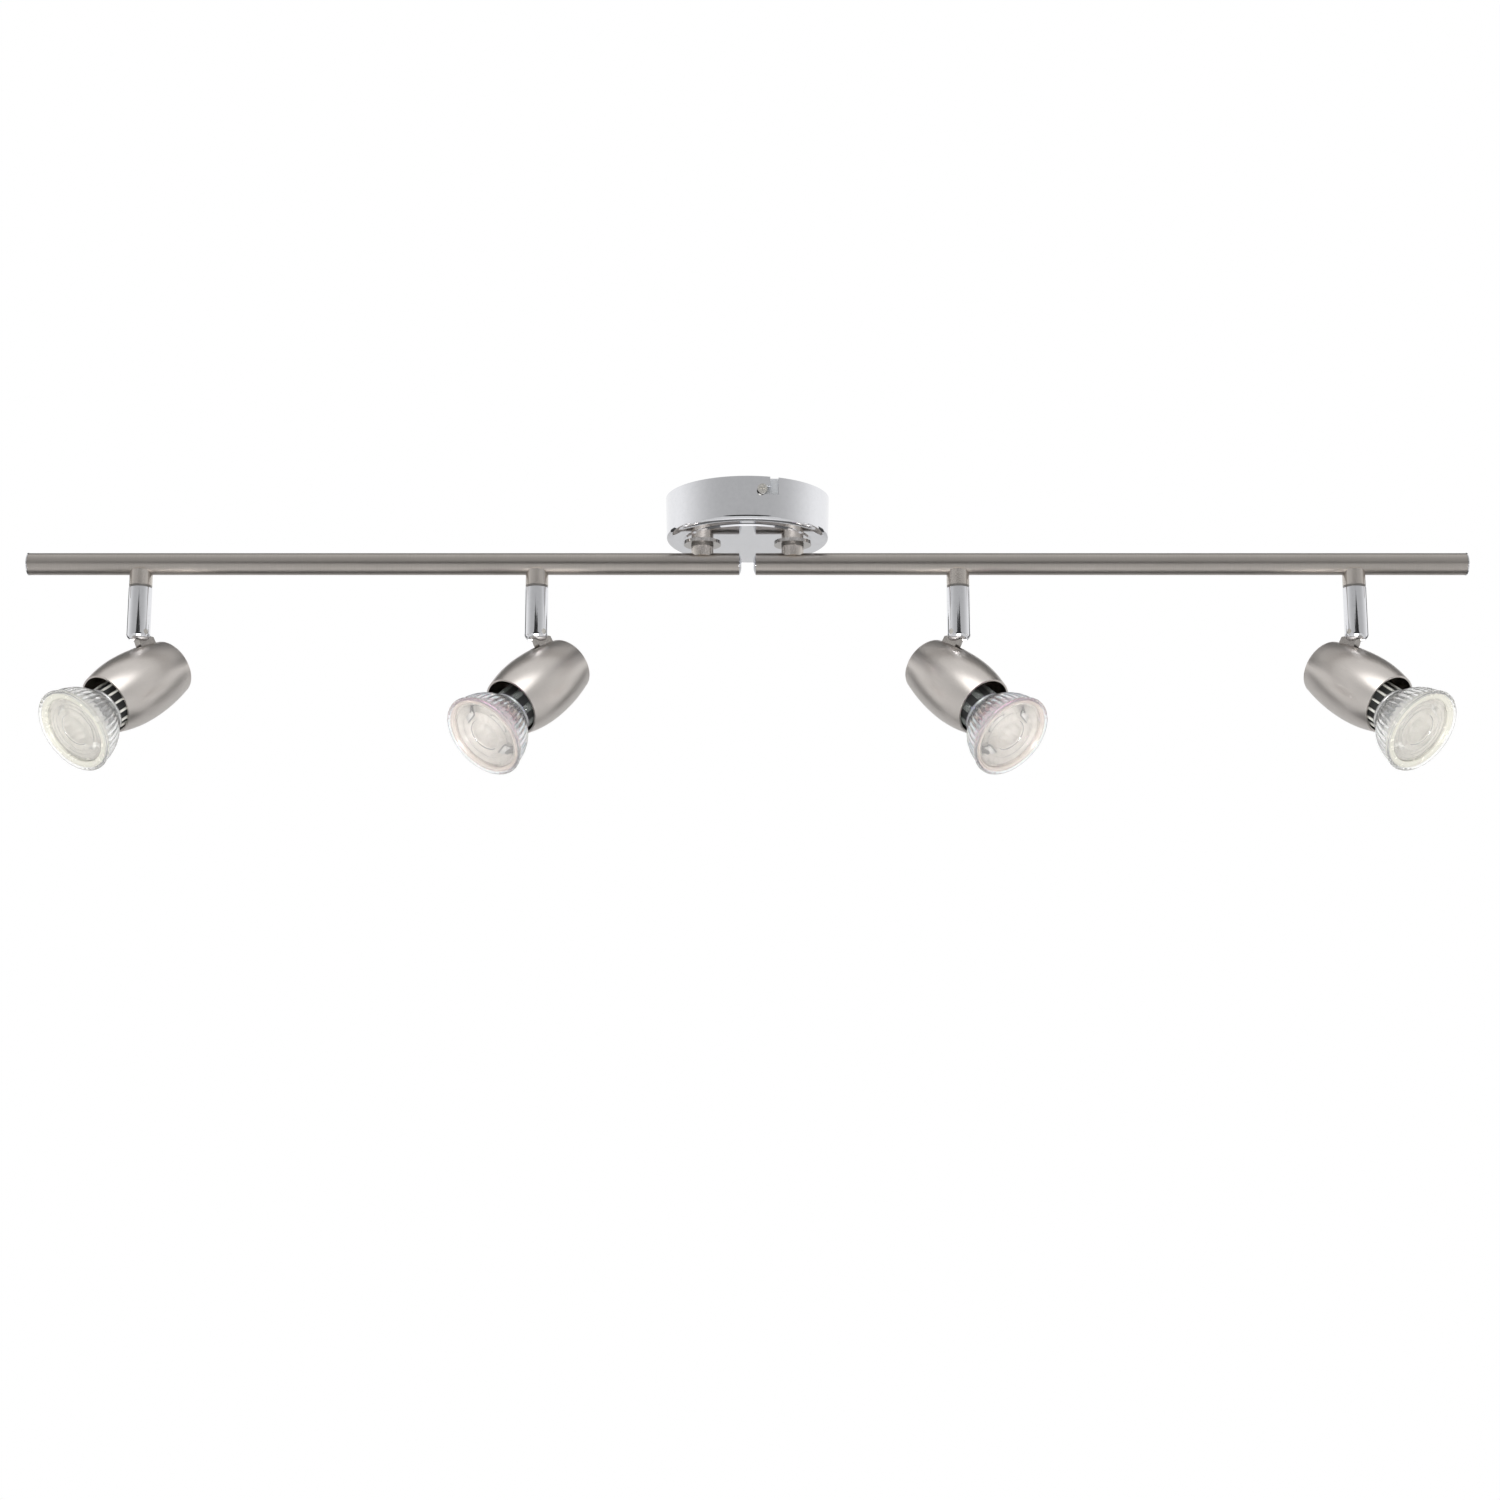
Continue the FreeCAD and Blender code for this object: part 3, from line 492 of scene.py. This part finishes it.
def block(name: str, size: Sequence[float], edge: float, place: Matrix,
          material: bpy.types.Material) -> bpy.types.Object:
    """Makes a small moulded or pressed block with rounded edges.

    Args:
        name: The new object's name.
        size: Its size along X, Y and Z in millimetres.
        edge: The rounding of its edges in millimetres.
        place: Where its middle goes.
        material: Its material.

    Returns:
        The block.
    """
    mesh = bmesh.new()
    bmesh.ops.create_cube(mesh, size=1.0)
    bmesh.ops.scale(mesh, vec=[length * MM for length in size], verts=mesh.verts)
    bmesh.ops.bevel(mesh, geom=mesh.edges[:], offset=edge * MM, segments=BLOCK_SEGMENTS,
                    affect="EDGES")
    for face in mesh.faces:
        face.smooth = True
    thing = placed(name, mesh)
    thing.matrix_world = place
    return coat(thing, material)


def joined(name: str, parts: Sequence[bpy.types.Object]) -> bpy.types.Object:
    """Joins meshes into one object that keeps each one's materials.

    Args:
        name: The joined object's name.
        parts: The objects to join, each with its own place.

    Returns:
        The joined object.
    """
    bpy.ops.object.select_all(action="DESELECT")
    for part in parts:
        part.select_set(True)
    bpy.context.view_layer.objects.active = parts[0]
    bpy.ops.object.join()
    parts[0].name = name
    parts[0].data.name = name
    return parts[0]


def coat(thing: bpy.types.Object, *materials: bpy.types.Material) -> bpy.types.Object:
    """Gives an object its materials in order.

    Args:
        thing: The object.
        materials: One material for each slot.

    Returns:
        The same object.
    """
    thing.data.materials.clear()
    for material in materials:
        thing.data.materials.append(material)
    return thing


def dress(names: Iterable[str], material: bpy.types.Material) -> None:
    """Puts a material on every slot of some CAD nodes.

    Args:
        names: The nodes' names.
        material: The material.
    """
    for name in names:
        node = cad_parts[name]
        if not node.material_slots:
            node.data.materials.append(material)
        for slot in node.material_slots:
            slot.material = material
        log.info("dressed %s in %s", name, material.name)


LAMP_MATERIALS: dict[tuple[str, Optional[LampKind]], bpy.types.Material] = {
    **{("glass", kind): glass.material() for kind, glass in RIBBED_GLASS.items()},
    **{("collar", kind): glass.material() for kind, glass in COLLAR_GLASS.items()},
    ("optic", None): OPTIC.material(),
    ("plastic", None): LAMP_PLASTIC.material(),
    ("board", None): BOARD.material(),
    ("phosphor", None): PHOSPHOR.material(),
    ("dark", None): DARK_CORE.material(),
    ("steel", None): LAMP_STEEL.material(),
    **{("bar", kind): bar.material() for kind, bar in NECK_BAR.items()},
    ("clip", None): CLIP_WHITE.material(),
    ("foot", None): CLIP_FOOT.material(),
    **{("lens", kind): glass.material() for kind, glass in LENS_GLASS.items()},
}


def lamp_material(part: str, kind: Optional[LampKind] = None) -> bpy.types.Material:
    """Gives the material of a lamp's part, which for glass parts depends on the kind of lamp."""
    return LAMP_MATERIALS[part, kind]


@dataclass
class Canopy:
    """The chrome cover on the ceiling with its bracket, screws and terminals."""

    steel: tuple[str, ...] = ("cover_screws", "terminal_screws")

    def dress(self, chrome: bpy.types.Material) -> None:
        """Dresses the canopy's nodes.

        Args:
            chrome: The polished plate.
        """
        dress(["canopy_cover"], chrome)
        dress(["post_washers"], WASHER_NICKEL.material())
        dress(self.steel, SCREW_STEEL.material())
        dress(["mounting_bracket"], ZINC.material())
        dress(["terminal_block"], NYLON.material())
        dress(["earth_screw"], BRASS.material(tag="_earth"))
        # The post rings get darker nickel: painted shade at the seam where the post meets its
        # washer.
        dress(["post_rings"], PAINTED_SEAM_SHADE.material(tag="_rings"))
        dress(["friction_washers"], FIBRE.material())


@dataclass
class HalfBar:
    """One half-bar with its post, end pieces, leads and collars."""

    half: str

    def dress(self, chrome: bpy.types.Material) -> None:
        """Dresses the half-bar's nodes.

        Args:
            chrome: The polished plate.
        """
        half = self.half
        dress([f"bar_tube_{half}"], BAR_NICKEL.material(tag=f"_{half}"))
        dress([f"end_cap_{half}", f"inner_plug_{half}"], chrome)
        # The swivel rings get darker nickel: painted shade in the seam between the collar and the
        # stem.
        dress([f"swivel_rings_{half}"], PAINTED_SEAM_SHADE.material(tag=f"_{half}"))
        dress([f"bar_post_{half}", f"spot_collars_{half}"], POST_NICKEL.material(tag=f"_{half}"))
        dress([f"post_nipple_{half}"], BRASS.material(tag=f"_{half}"))
        dress([f"lock_nut_{half}"], ZINC.material(tag=f"_{half}"))
        dress([f"bar_leads_{half}"], LEAD.material())


@dataclass
class LampSeat:
    """Where a lamp sits: the middle of its face, with Z along its light."""

    spot: str
    lens_inset: float = 0.5
    matrix: Matrix = field(init=False)

    def __post_init__(self) -> None:
        """Finds the lamp's axis from its lens and body."""
        lens = self.points("bulb_lens_" + self.spot)
        base = self.points("bulb_base_" + self.spot)
        middle = lens.mean(axis=0)
        light = Vector(np.linalg.svd(lens - middle)[2][2])
        if light.dot(Vector(middle) - Vector(base.mean(axis=0))) < 0:
            light.negate()
        along = (lens - middle) @ np.array(light)
        face = Vector(middle) + light * (along.max() + self.lens_inset * MM)
        across = Vector((0.0, 0.0, 1.0)).cross(light).normalized()
        up = light.cross(across)
        axes = Matrix((up, light.cross(up), light)).transposed()
        self.matrix = Matrix.Translation(face) @ axes.to_4x4()

    @staticmethod
    def points(node: str) -> np.ndarray:
        """Gives a CAD node's points as rows."""
        return np.array([vertex.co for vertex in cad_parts[node].data.vertices], float)


@dataclass
class ReflectorLamp:
    """A glass reflector lamp, in millimetres from the middle of its face, with Z along its light.

    The glass is a ribbed bowl from the rim to the neck. The front is a collar round a window with
    fine grooves and a low dome. The cup behind it is faceted, and its throat holds the chip.
    """

    spot: str
    kind: LampKind
    rim: float = 24.7
    rim_depth: float = 1.8
    shoulder: float = 15.6
    shoulder_depth: float = 20.0
    neck: float = 13.6
    neck_depth: float = 23.0
    foot: float = 11.8
    foot_depth: float = 37.0
    length: float = 46.0
    wall: float = 1.2
    ribs: int = 40
    rib_depth: float = 0.6
    bowl: float = 1.7
    collar_radius: float = 22.9
    collar_face: float = 0.5
    collar_back: float = 3.6
    window_radius: float = 19.3
    window_face: float = 1.9
    window_back: float = 2.8
    groove_pitch: float = 2.3
    groove_width: float = 0.4
    groove_depth: float = 0.12
    dome_radius: float = 8.5
    dome_foot: float = 2.3
    dome_top: float = 1.2
    facets: int = 32
    cup_top: float = 3.7
    cup_step: float = 5.0
    cup_step_radius: float = 13.5
    cup_throat: float = 7.2
    cup_bulge: float = 2.6
    board_radius: float = 12.0
    board_depth: float = 17.0
    chip_radius: float = 5.2
    drum_inset: float = 1.7
    bars: int = 14
    bar_size: tuple[float, float, float] = (1.5, 1.25, 0.3)
    bar_proud: float = 1.05
    clip_turn: float = 26.0
    clip_lean: float = 35.0
    clip_place: tuple[float, float, float] = (13.4, 0.0, -4.3)
    clip_size: tuple[float, float, float] = (3.6, 7.4, 0.7)
    clip_foot_size: tuple[float, float, float] = (6.0, 8.8, 0.5)
    clip_foot_place: tuple[float, float, float] = (0.6, 0.0, -0.6)
    clip_edge: float = 0.2
    pin_spacing: float = 10.0
    pin_reach: float = 7.5
    pin_radius: float = 1.5
    pin_head: float = 2.4

    @property
    def drum(self) -> float:
        """Gives the radius of the dark drum inside the neck."""
        return self.neck - self.drum_inset

    def glass(self) -> bpy.types.Object:
        """Makes the ribbed glass body, open at the face.

        Returns:
            The glass.
        """
        rim, neck, wall = self.rim, self.neck, self.wall
        flare, low, shoulder = -self.rim_depth, -self.neck_depth, -self.shoulder_depth
        mouth = rim - wall
        outside = [
            Ring(neck - 1.0, low - 1.2), Ring(neck - 0.2, low - 1.1), Ring(neck, low - 0.7),
            Ring(neck + 0.1, low), Ring(neck + 0.7, shoulder - 1.2),
            Ring(self.shoulder - 0.6, shoulder - 0.5),
            Ring(self.shoulder, shoulder, self.rib_depth * 0.5),
            *arc((self.shoulder, shoulder), (rim - 1.0, flare - 0.6), self.bowl, 14,
                 self.rib_depth),
            Ring(rim - 0.75, flare - 0.1), Ring(rim - 0.2, flare + 0.35), Ring(rim, flare + 0.8),
            Ring(rim, -0.55), Ring(rim - 0.2, -0.18), Ring(rim - 0.6, 0.0)]
        inside = [
            Ring(mouth - 0.6, 0.0), Ring(mouth - 0.7, -0.3), Ring(mouth - 0.8, flare),
            *arc((mouth - 0.8, flare), (self.shoulder - wall, shoulder), -self.bowl, 14),
            Ring(neck - wall, low)]
        return turned("lamp_glass_" + self.spot, outside + inside, self.ribs, self.ribs * 6)

    def collar(self) -> bpy.types.Object:
        """Makes the moulded collar that holds the window in the glass.

        Returns:
            The collar.
        """
        edge, window, face = self.collar_radius, self.window_radius, -self.collar_face
        inner = edge - 1.1
        collar = turned("collar", [
            Ring(window, -self.collar_back), Ring(edge - 0.4, face - 1.7), Ring(edge, face - 1.25),
            Ring(edge, face - 0.2), Ring(edge - 0.25, face), Ring(edge - 0.9, face),
            Ring(inner, face - 0.25),
            *arc((inner, face - 0.25), (window + 0.7, face - 0.5), 0.12, 4),
            Ring(window + 0.25, face - 0.3), Ring(window, face - 0.6), Ring(window, face - 1.0)])
        return coat(collar, lamp_material("collar", self.kind))

    def window(self) -> bpy.types.Object:
        """Makes the window with its grooves and the low dome in its middle.

        Returns:
            The window.
        """
        edge, face, dome = self.window_radius, -self.window_face, self.dome_radius
        rings = [Ring(0.0, -self.window_back), Ring(edge - 0.05, -self.window_back),
                 Ring(edge - 0.05, face - 0.1), Ring(edge - 0.6, face)]
        groove = edge - 1.4
        while groove > dome + 3.0:
            rings += [Ring(groove, face),
                      Ring(groove - self.groove_width / 2, face - self.groove_depth),
                      Ring(groove - self.groove_width, face)]
            groove -= self.groove_pitch
        rings += [Ring(dome + 1.1, face), Ring(dome + 0.7, -self.dome_foot),
                  Ring(dome, -self.dome_foot)]
        rings += arc((dome, -self.dome_foot), (0.0, -self.dome_top), 0.5, 8)
        return coat(turned("window", rings, closed=False), lamp_material("lens", self.kind))

    def optic(self) -> bpy.types.Object:
        """Makes the pale cup behind the window, with its stepped floor round the chip.

        Returns:
            The cup.
        """
        top, low, throat = -self.cup_top, -self.board_depth + 2.6, self.cup_throat
        brim, step = self.window_radius - 0.2, top - self.cup_step
        ledge = self.cup_step_radius - 0.6
        floor = [Ring(throat - 0.6, low - 1.5), Ring(throat - 0.2, low - 1.9),
                 Ring(throat + 0.4, low - 1.9)]
        outside = arc((throat + 0.4, low - 1.9), (brim + 0.8, top), self.cup_bulge, 10)
        inside = [Ring(brim, top), *arc((brim, top), (self.cup_step_radius, step), -0.8, 5, 0.35),
                  Ring(ledge, step, 0.5), *arc((ledge, step), (throat, low), -0.8, 5, 0.5)]
        return turned("lamp_cup_" + self.spot, floor + outside + inside, self.facets,
                      self.facets * 6)

    def base(self) -> bpy.types.Object:
        """Makes the moulded base that stands in the holder.

        Returns:
            The base.
        """
        back, top, foot = -self.length, -self.foot_depth, self.foot
        base = turned("base", [
            Ring(0.0, back), Ring(foot - 0.8, back), Ring(foot - 0.2, back + 0.3),
            Ring(foot, back + 0.9), Ring(foot, back + 3.2), Ring(foot - 0.5, back + 3.6),
            Ring(foot - 0.5, back + 4.2), Ring(foot, back + 4.6), Ring(foot, top - 0.3),
            Ring(foot - 0.3, top - 0.05), Ring(9.6, top - 0.05), Ring(0.0, top - 0.05)],
            closed=False)
        return coat(base, lamp_material("plastic"))

    def column(self, top: float) -> bpy.types.Object:
        """Makes the dark drum in the neck and the board that stands on it.

        Args:
            top: Height of the drum's top.

        Returns:
            The drum and board as one piece.
        """
        low, board, drum, radius = -self.foot_depth, -self.board_depth, self.drum, self.board_radius
        column = turned("column", [
            Ring(0.0, low), Ring(drum - 0.6, low), Ring(drum, low + 0.4), Ring(drum, top),
            Ring(drum - 0.5, top + 0.3), Ring(9.4, top + 0.4), Ring(9.4, board - 1.5),
            Ring(radius - 0.3, board - 1.5), Ring(radius, board - 1.2),
            Ring(radius, board - 0.2), Ring(radius - 0.2, board), Ring(0.0, board)],
            closed=False, slots=(0,) * 8 + (1,) * 4)
        return coat(column, lamp_material("dark"), lamp_material("board"))

    def chip(self) -> bpy.types.Object:
        """Makes the light-giving chip with its raised ring.

        Returns:
            The chip.
        """
        radius, board = self.chip_radius, -self.board_depth
        chip = turned("chip", [
            Ring(radius + 0.9, board), Ring(radius + 0.9, board + 0.35),
            Ring(radius + 0.2, board + 0.55), Ring(radius, board + 0.25),
            Ring(0.0, board + 0.3)], closed=False, slots=(0, 0, 0, 1, 1))
        return coat(chip, lamp_material("board"), lamp_material("phosphor"))

    def neck_bars(self, low: float, high: float) -> list[bpy.types.Object]:
        """Makes the moulded bars that stand off the drum at the neck, and the ring over them.

        Args:
            low: Height of the bars' foot.
            high: Height of their top.

        Returns:
            The ring and the bars.
        """
        drum = self.drum
        ring = turned("neck_ring", [
            Ring(drum - 0.2, high - 0.3), Ring(drum + 1.1, high - 0.3), Ring(drum + 1.35, high),
            Ring(drum + 1.35, high + 1.0), Ring(drum + 1.1, high + 1.3),
            Ring(drum - 0.2, high + 1.3)])
        made = [coat(ring, lamp_material("steel"))]
        deep, wide, edge = self.bar_size
        out = Matrix.Translation(((drum + self.bar_proud - deep / 2) * MM, 0.0,
                                  (high + low) / 2 * MM))
        for k in range(self.bars):
            turn = Matrix.Rotation(math.tau * k / self.bars, 4, "Z")
            made.append(block("neck_bar", (deep, wide, high - low), edge, turn @ out,
                              lamp_material("bar", self.kind)))
        return made

    def contacts(self) -> list[bpy.types.Object]:
        """Makes the two twist-lock contacts at the back.

        Returns:
            The contacts.
        """
        made = []
        low, top, shank, head = (-self.length - self.pin_reach, -self.length + 0.2,
                                 self.pin_radius, self.pin_head)
        for sign in (-1, 1):
            contact = turned(f"contact_{sign}", [
                Ring(0.0, low), Ring(head - 0.3, low), Ring(head, low + 0.3),
                Ring(head, low + 1.9), Ring(head - 0.3, low + 2.2), Ring(shank, low + 2.3),
                Ring(shank, top), Ring(0.0, top)], closed=False, segments=32)
            contact.location = (0.0, sign * self.pin_spacing / 2 * MM, 0.0)
            made.append(coat(contact, lamp_material("steel")))
        return made

    def clips(self) -> bpy.types.Object:
        """Makes the two bright clips that hold the cup, seen through the window.

        Returns:
            The clips.
        """
        parts = []
        first = math.radians(self.clip_turn if self.spot.endswith("left") else -self.clip_turn)
        lean = Matrix.Rotation(math.radians(self.clip_lean), 4, "Y")
        for angle in (first, first + math.pi):
            spin = Matrix.Rotation(angle, 4, "Z")
            seat = spin @ Matrix.Translation(Vector(self.clip_place) * MM) @ lean
            parts.append(block("clip", self.clip_size, self.clip_edge, seat,
                               lamp_material("clip")))
            if self.kind is LampKind.FILMED:
                foot = seat @ Matrix.Translation(Vector(self.clip_foot_place) * MM)
                parts.append(block("clip_foot", self.clip_foot_size, self.clip_edge, foot,
                                   lamp_material("foot")))
        return joined("lamp_clips_" + self.spot, parts)

    def build(self) -> None:
        """Makes the lamp's pieces, seats them on its axis and sets them to ride with its head."""
        seat = LampSeat(self.spot).matrix
        glass = coat(self.glass(), lamp_material("glass", self.kind))
        front = joined("lamp_front_" + self.spot, [self.collar(), self.window()])
        cup = coat(self.optic(), lamp_material("optic"))
        top = -self.shoulder_depth - 3.4
        core = joined("lamp_core_" + self.spot, [
            self.base(), self.column(top), self.chip(),
            *self.neck_bars(-self.foot_depth + 0.2, top), *self.contacts()])
        clips = self.clips()
        stands_for = {glass: "bulb_glass_", front: "bulb_lens_", core: "bulb_base_",
                      cup: "", clips: ""}
        for piece, node in stands_for.items():
            piece.data.transform(piece.matrix_basis)
            piece.matrix_basis = Matrix.Identity(4)
            piece.data.transform(seat)
            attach(piece, "head_" + self.spot)
            if node:
                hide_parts(node + self.spot)
            log.info("built %s", piece.name)


FILMED_SHAPE = {"window_radius": 20.6, "groove_pitch": 4.4, "bars": 8, "bar_size": (2.2, 4.4, 1.0)}


@dataclass
class Spot:
    """One spot: its chrome stem, pin, lug, satin barrel and holder."""

    spot: str

    def dress(self, chrome: bpy.types.Material, steel: bpy.types.Material,
              ceramic: bpy.types.Material) -> None:
        """Dresses the spot's CAD nodes.

        Args:
            chrome: The polished plate of the stem.
            steel: The pin's finish.
            ceramic: The lampholder's finish.
        """
        turn = LampSeat(self.spot).matrix.inverted()
        nickel = SPOT_NICKEL.material(turn, "_" + self.spot)
        dress(["stem_" + self.spot], chrome)
        dress(["pivot_pin_" + self.spot], steel)
        dress(["barrel_" + self.spot], nickel)
        dress(["tilt_lug_" + self.spot], LUG_NICKEL.material(tag="_" + self.spot))
        dress(["lampholder_" + self.spot], ceramic)


@dataclass(frozen=True)
class Card:
    """A flat matt sheet of the studio: its grey tone, its corners in order and who sees it."""

    name: str
    tone: float
    corners: tuple[Point, ...]
    only_reflected: bool = True
    roughness: float = 0.9

    def build(self) -> None:
        """Makes the sheet."""
        data = bpy.data.meshes.new(self.name)
        data.from_pydata(self.corners, [], [tuple(range(len(self.corners)))])
        thing = bpy.data.objects.new(self.name, data)
        bpy.context.scene.collection.objects.link(thing)
        shader = Shader(self.name)
        shader.fill(shader.surface, Base_Color=(*(self.tone,) * 3, 1.0), Roughness=self.roughness)
        coat(thing, shader.material)
        if self.only_reflected:
            thing.visible_camera = False
            thing.visible_diffuse = False
            thing.visible_shadow = False
            thing.visible_transmission = False


@dataclass(frozen=True)
class SoftLight:
    """A soft rectangular light: where it hangs, what it points at, its size and its watts."""

    name: str
    at: Point
    target: Point
    size: tuple[float, float]
    power: float

    def build(self, shaded: bpy.types.Collection) -> None:
        """Hangs the light.

        Args:
            shaded: The pieces that it doesn't light.
        """
        data = bpy.data.lights.new(self.name, "AREA")
        data.shape = "RECTANGLE"
        data.size, data.size_y = self.size
        data.energy = self.power
        lamp = bpy.data.objects.new(self.name, data)
        lamp.location = self.at
        lamp.light_linking.receiver_collection = shaded
        way = Vector(self.target) - Vector(self.at)
        lamp.rotation_euler = way.to_track_quat("-Z", "Y").to_euler()
        bpy.context.scene.collection.objects.link(lamp)


def upright(depth: float, sides: tuple[float, float], low: float,
            tops: tuple[float, float]) -> tuple[Point, ...]:
    """Gives the corners of an upright card that faces the object.

    Args:
        depth: Its Y.
        sides: X of its two sides.
        low: Z of its lower edge.
        tops: Z of its upper edge at each side.

    Returns:
        Its corners in order.
    """
    (first, last), (first_top, last_top) = sides, tops
    return ((first, depth, low), (last, depth, low), (last, depth, last_top),
            (first, depth, first_top))


def level(half: float, near: float, far: float, low: float, high: float) -> tuple[Point, ...]:
    """Gives the corners of a card that lies above or below the object.

    Args:
        half: Half its width.
        near: Y of its front edge.
        far: Y of its back edge.
        low: Z of its front edge.
        high: Z of its back edge.

    Returns:
        Its corners in order.
    """
    return ((-half, near, low), (half, near, low), (half, far, high), (-half, far, high))


FRONT, REAR = -1.36, 1.4
CAMERA_CARD_HALF = ((0.5, -0.34), (0.9, 0.21), (0.3, 0.285), (0.1, 0.27))
CARDS = (
    Card("pale_floor", 0.8, level(4.0, -4.0, 4.0, -1.25, -1.25), only_reflected=False),
    Card("camera_card", 0.01, (*((x, FRONT, z) for x, z in CAMERA_CARD_HALF),
                               *((-x, FRONT, z) for x, z in reversed(CAMERA_CARD_HALF)))),
    Card("line_card", 0.95, upright(FRONT, (-1.5, 1.5), -0.62, (-0.38, -0.38))),
    Card("ceiling_card", 0.15, level(1.6, 0.35, 1.5, 1.0, 0.85)),
    Card("rear_card", 0.66, upright(REAR, (-1.4, 1.4), -1.2, (0.25, 0.25))),
    *(Card(f"edge_card_{side}", 0.06, upright(REAR, (side * 1.4, side * 2.6), -1.2, (0.44, 0.68)))
      for side in (-1, 1)),
    Card("under_card", 0.12, level(1.2, -0.15, 1.1, -1.2, -1.2)),
)
LIGHTS = (
    SoftLight("high_front", (0.0, -1.1, 1.0), (0.0, 0.0, -0.05), (1.6, 0.9), 9.0),
    SoftLight("low_front", (0.0, -1.05, -0.80), (0.0, 0.0, -0.08), (0.8, 0.3), 20.0),
)


@dataclass
class Studio:
    """A pale floor, a white surround, soft lights, cards for the metal to reflect, and a camera."""

    camera_at: Point = (0.0, -1.3265, -0.3983)
    pitch: float = 10.81
    lens: float = 58.0
    shift: float = 0.0017
    front_tone: float = 0.5
    shaded: tuple[str, ...] = ("bar_tube_left", "bar_tube_right", "canopy_cover")

    def surround(self) -> None:
        """Fills the world with light that is white behind the object and greyer in front of it."""
        world = bpy.data.worlds.new("white_surround")
        bpy.context.scene.world = world
        world.use_nodes = True
        tree = world.node_tree
        parts = tree.nodes.new("ShaderNodeSeparateXYZ")
        where = tree.nodes.new("ShaderNodeTexCoord")
        tree.links.new(where.outputs["Generated"], parts.inputs[0])
        ramp = tree.nodes.new("ShaderNodeMapRange")
        ramp.interpolation_type = "SMOOTHSTEP"
        ends = {"From Min": -0.9, "From Max": 0.5, "To Min": self.front_tone, "To Max": 1.0}
        for key, value in ends.items():
            ramp.inputs[key].default_value = value
        background = tree.nodes["Background"]
        tree.links.new(parts.outputs["Y"], ramp.inputs["Value"])
        tree.links.new(ramp.outputs[0], background.inputs["Strength"])
        background.inputs["Color"].default_value = (1.0, 1.0, 1.0, 1.0)

    def lights(self) -> None:
        """Hangs the lights, which leave the bars and the cover to reflect the surround alone."""
        shaded = bpy.data.collections.new("shaded_nodes")
        for node in self.shaded:
            shaded.objects.link(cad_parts[node])
        for linked in shaded.collection_objects:
            linked.light_linking.link_state = "EXCLUDE"
        for light in LIGHTS:
            light.build(shaded)

    def camera(self) -> None:
        """Stands the camera in front of the object and below it."""
        camera = bpy.data.objects.new("camera", bpy.data.cameras.new("camera"))
        camera.data.lens = self.lens
        camera.data.sensor_width = SENSOR_WIDTH
        camera.data.shift_x = self.shift
        camera.data.dof.use_dof = False
        camera.location = self.camera_at
        camera.rotation_euler = (math.radians(90 + self.pitch), 0.0, 0.0)
        bpy.context.scene.collection.objects.link(camera)
        bpy.context.scene.camera = camera

    def build(self) -> None:
        """Sets up the whole studio."""
        self.surround()
        for card in CARDS:
            card.build()
        self.lights()
        self.camera()
        bpy.context.scene.view_settings.view_transform = "Standard"


def main() -> None:
    """Builds the studio, dresses the canopy, bars and spots, and makes the lamps."""
    Studio().build()
    chrome = CHROME.material()
    Canopy().dress(chrome)
    for half in HALVES:
        HalfBar(half).dress(chrome)
    steel, ceramic = SCREW_STEEL.material(tag="_pins"), CERAMIC.material()
    for spot in SPOTS:
        Spot(spot).dress(chrome, steel, ceramic)
        if spot.startswith("outer"):
            ReflectorLamp(spot, LampKind.FROSTED).build()
        else:
            ReflectorLamp(spot, LampKind.FILMED, **FILMED_SHAPE).build()


if __name__ == "__main__":
    main()
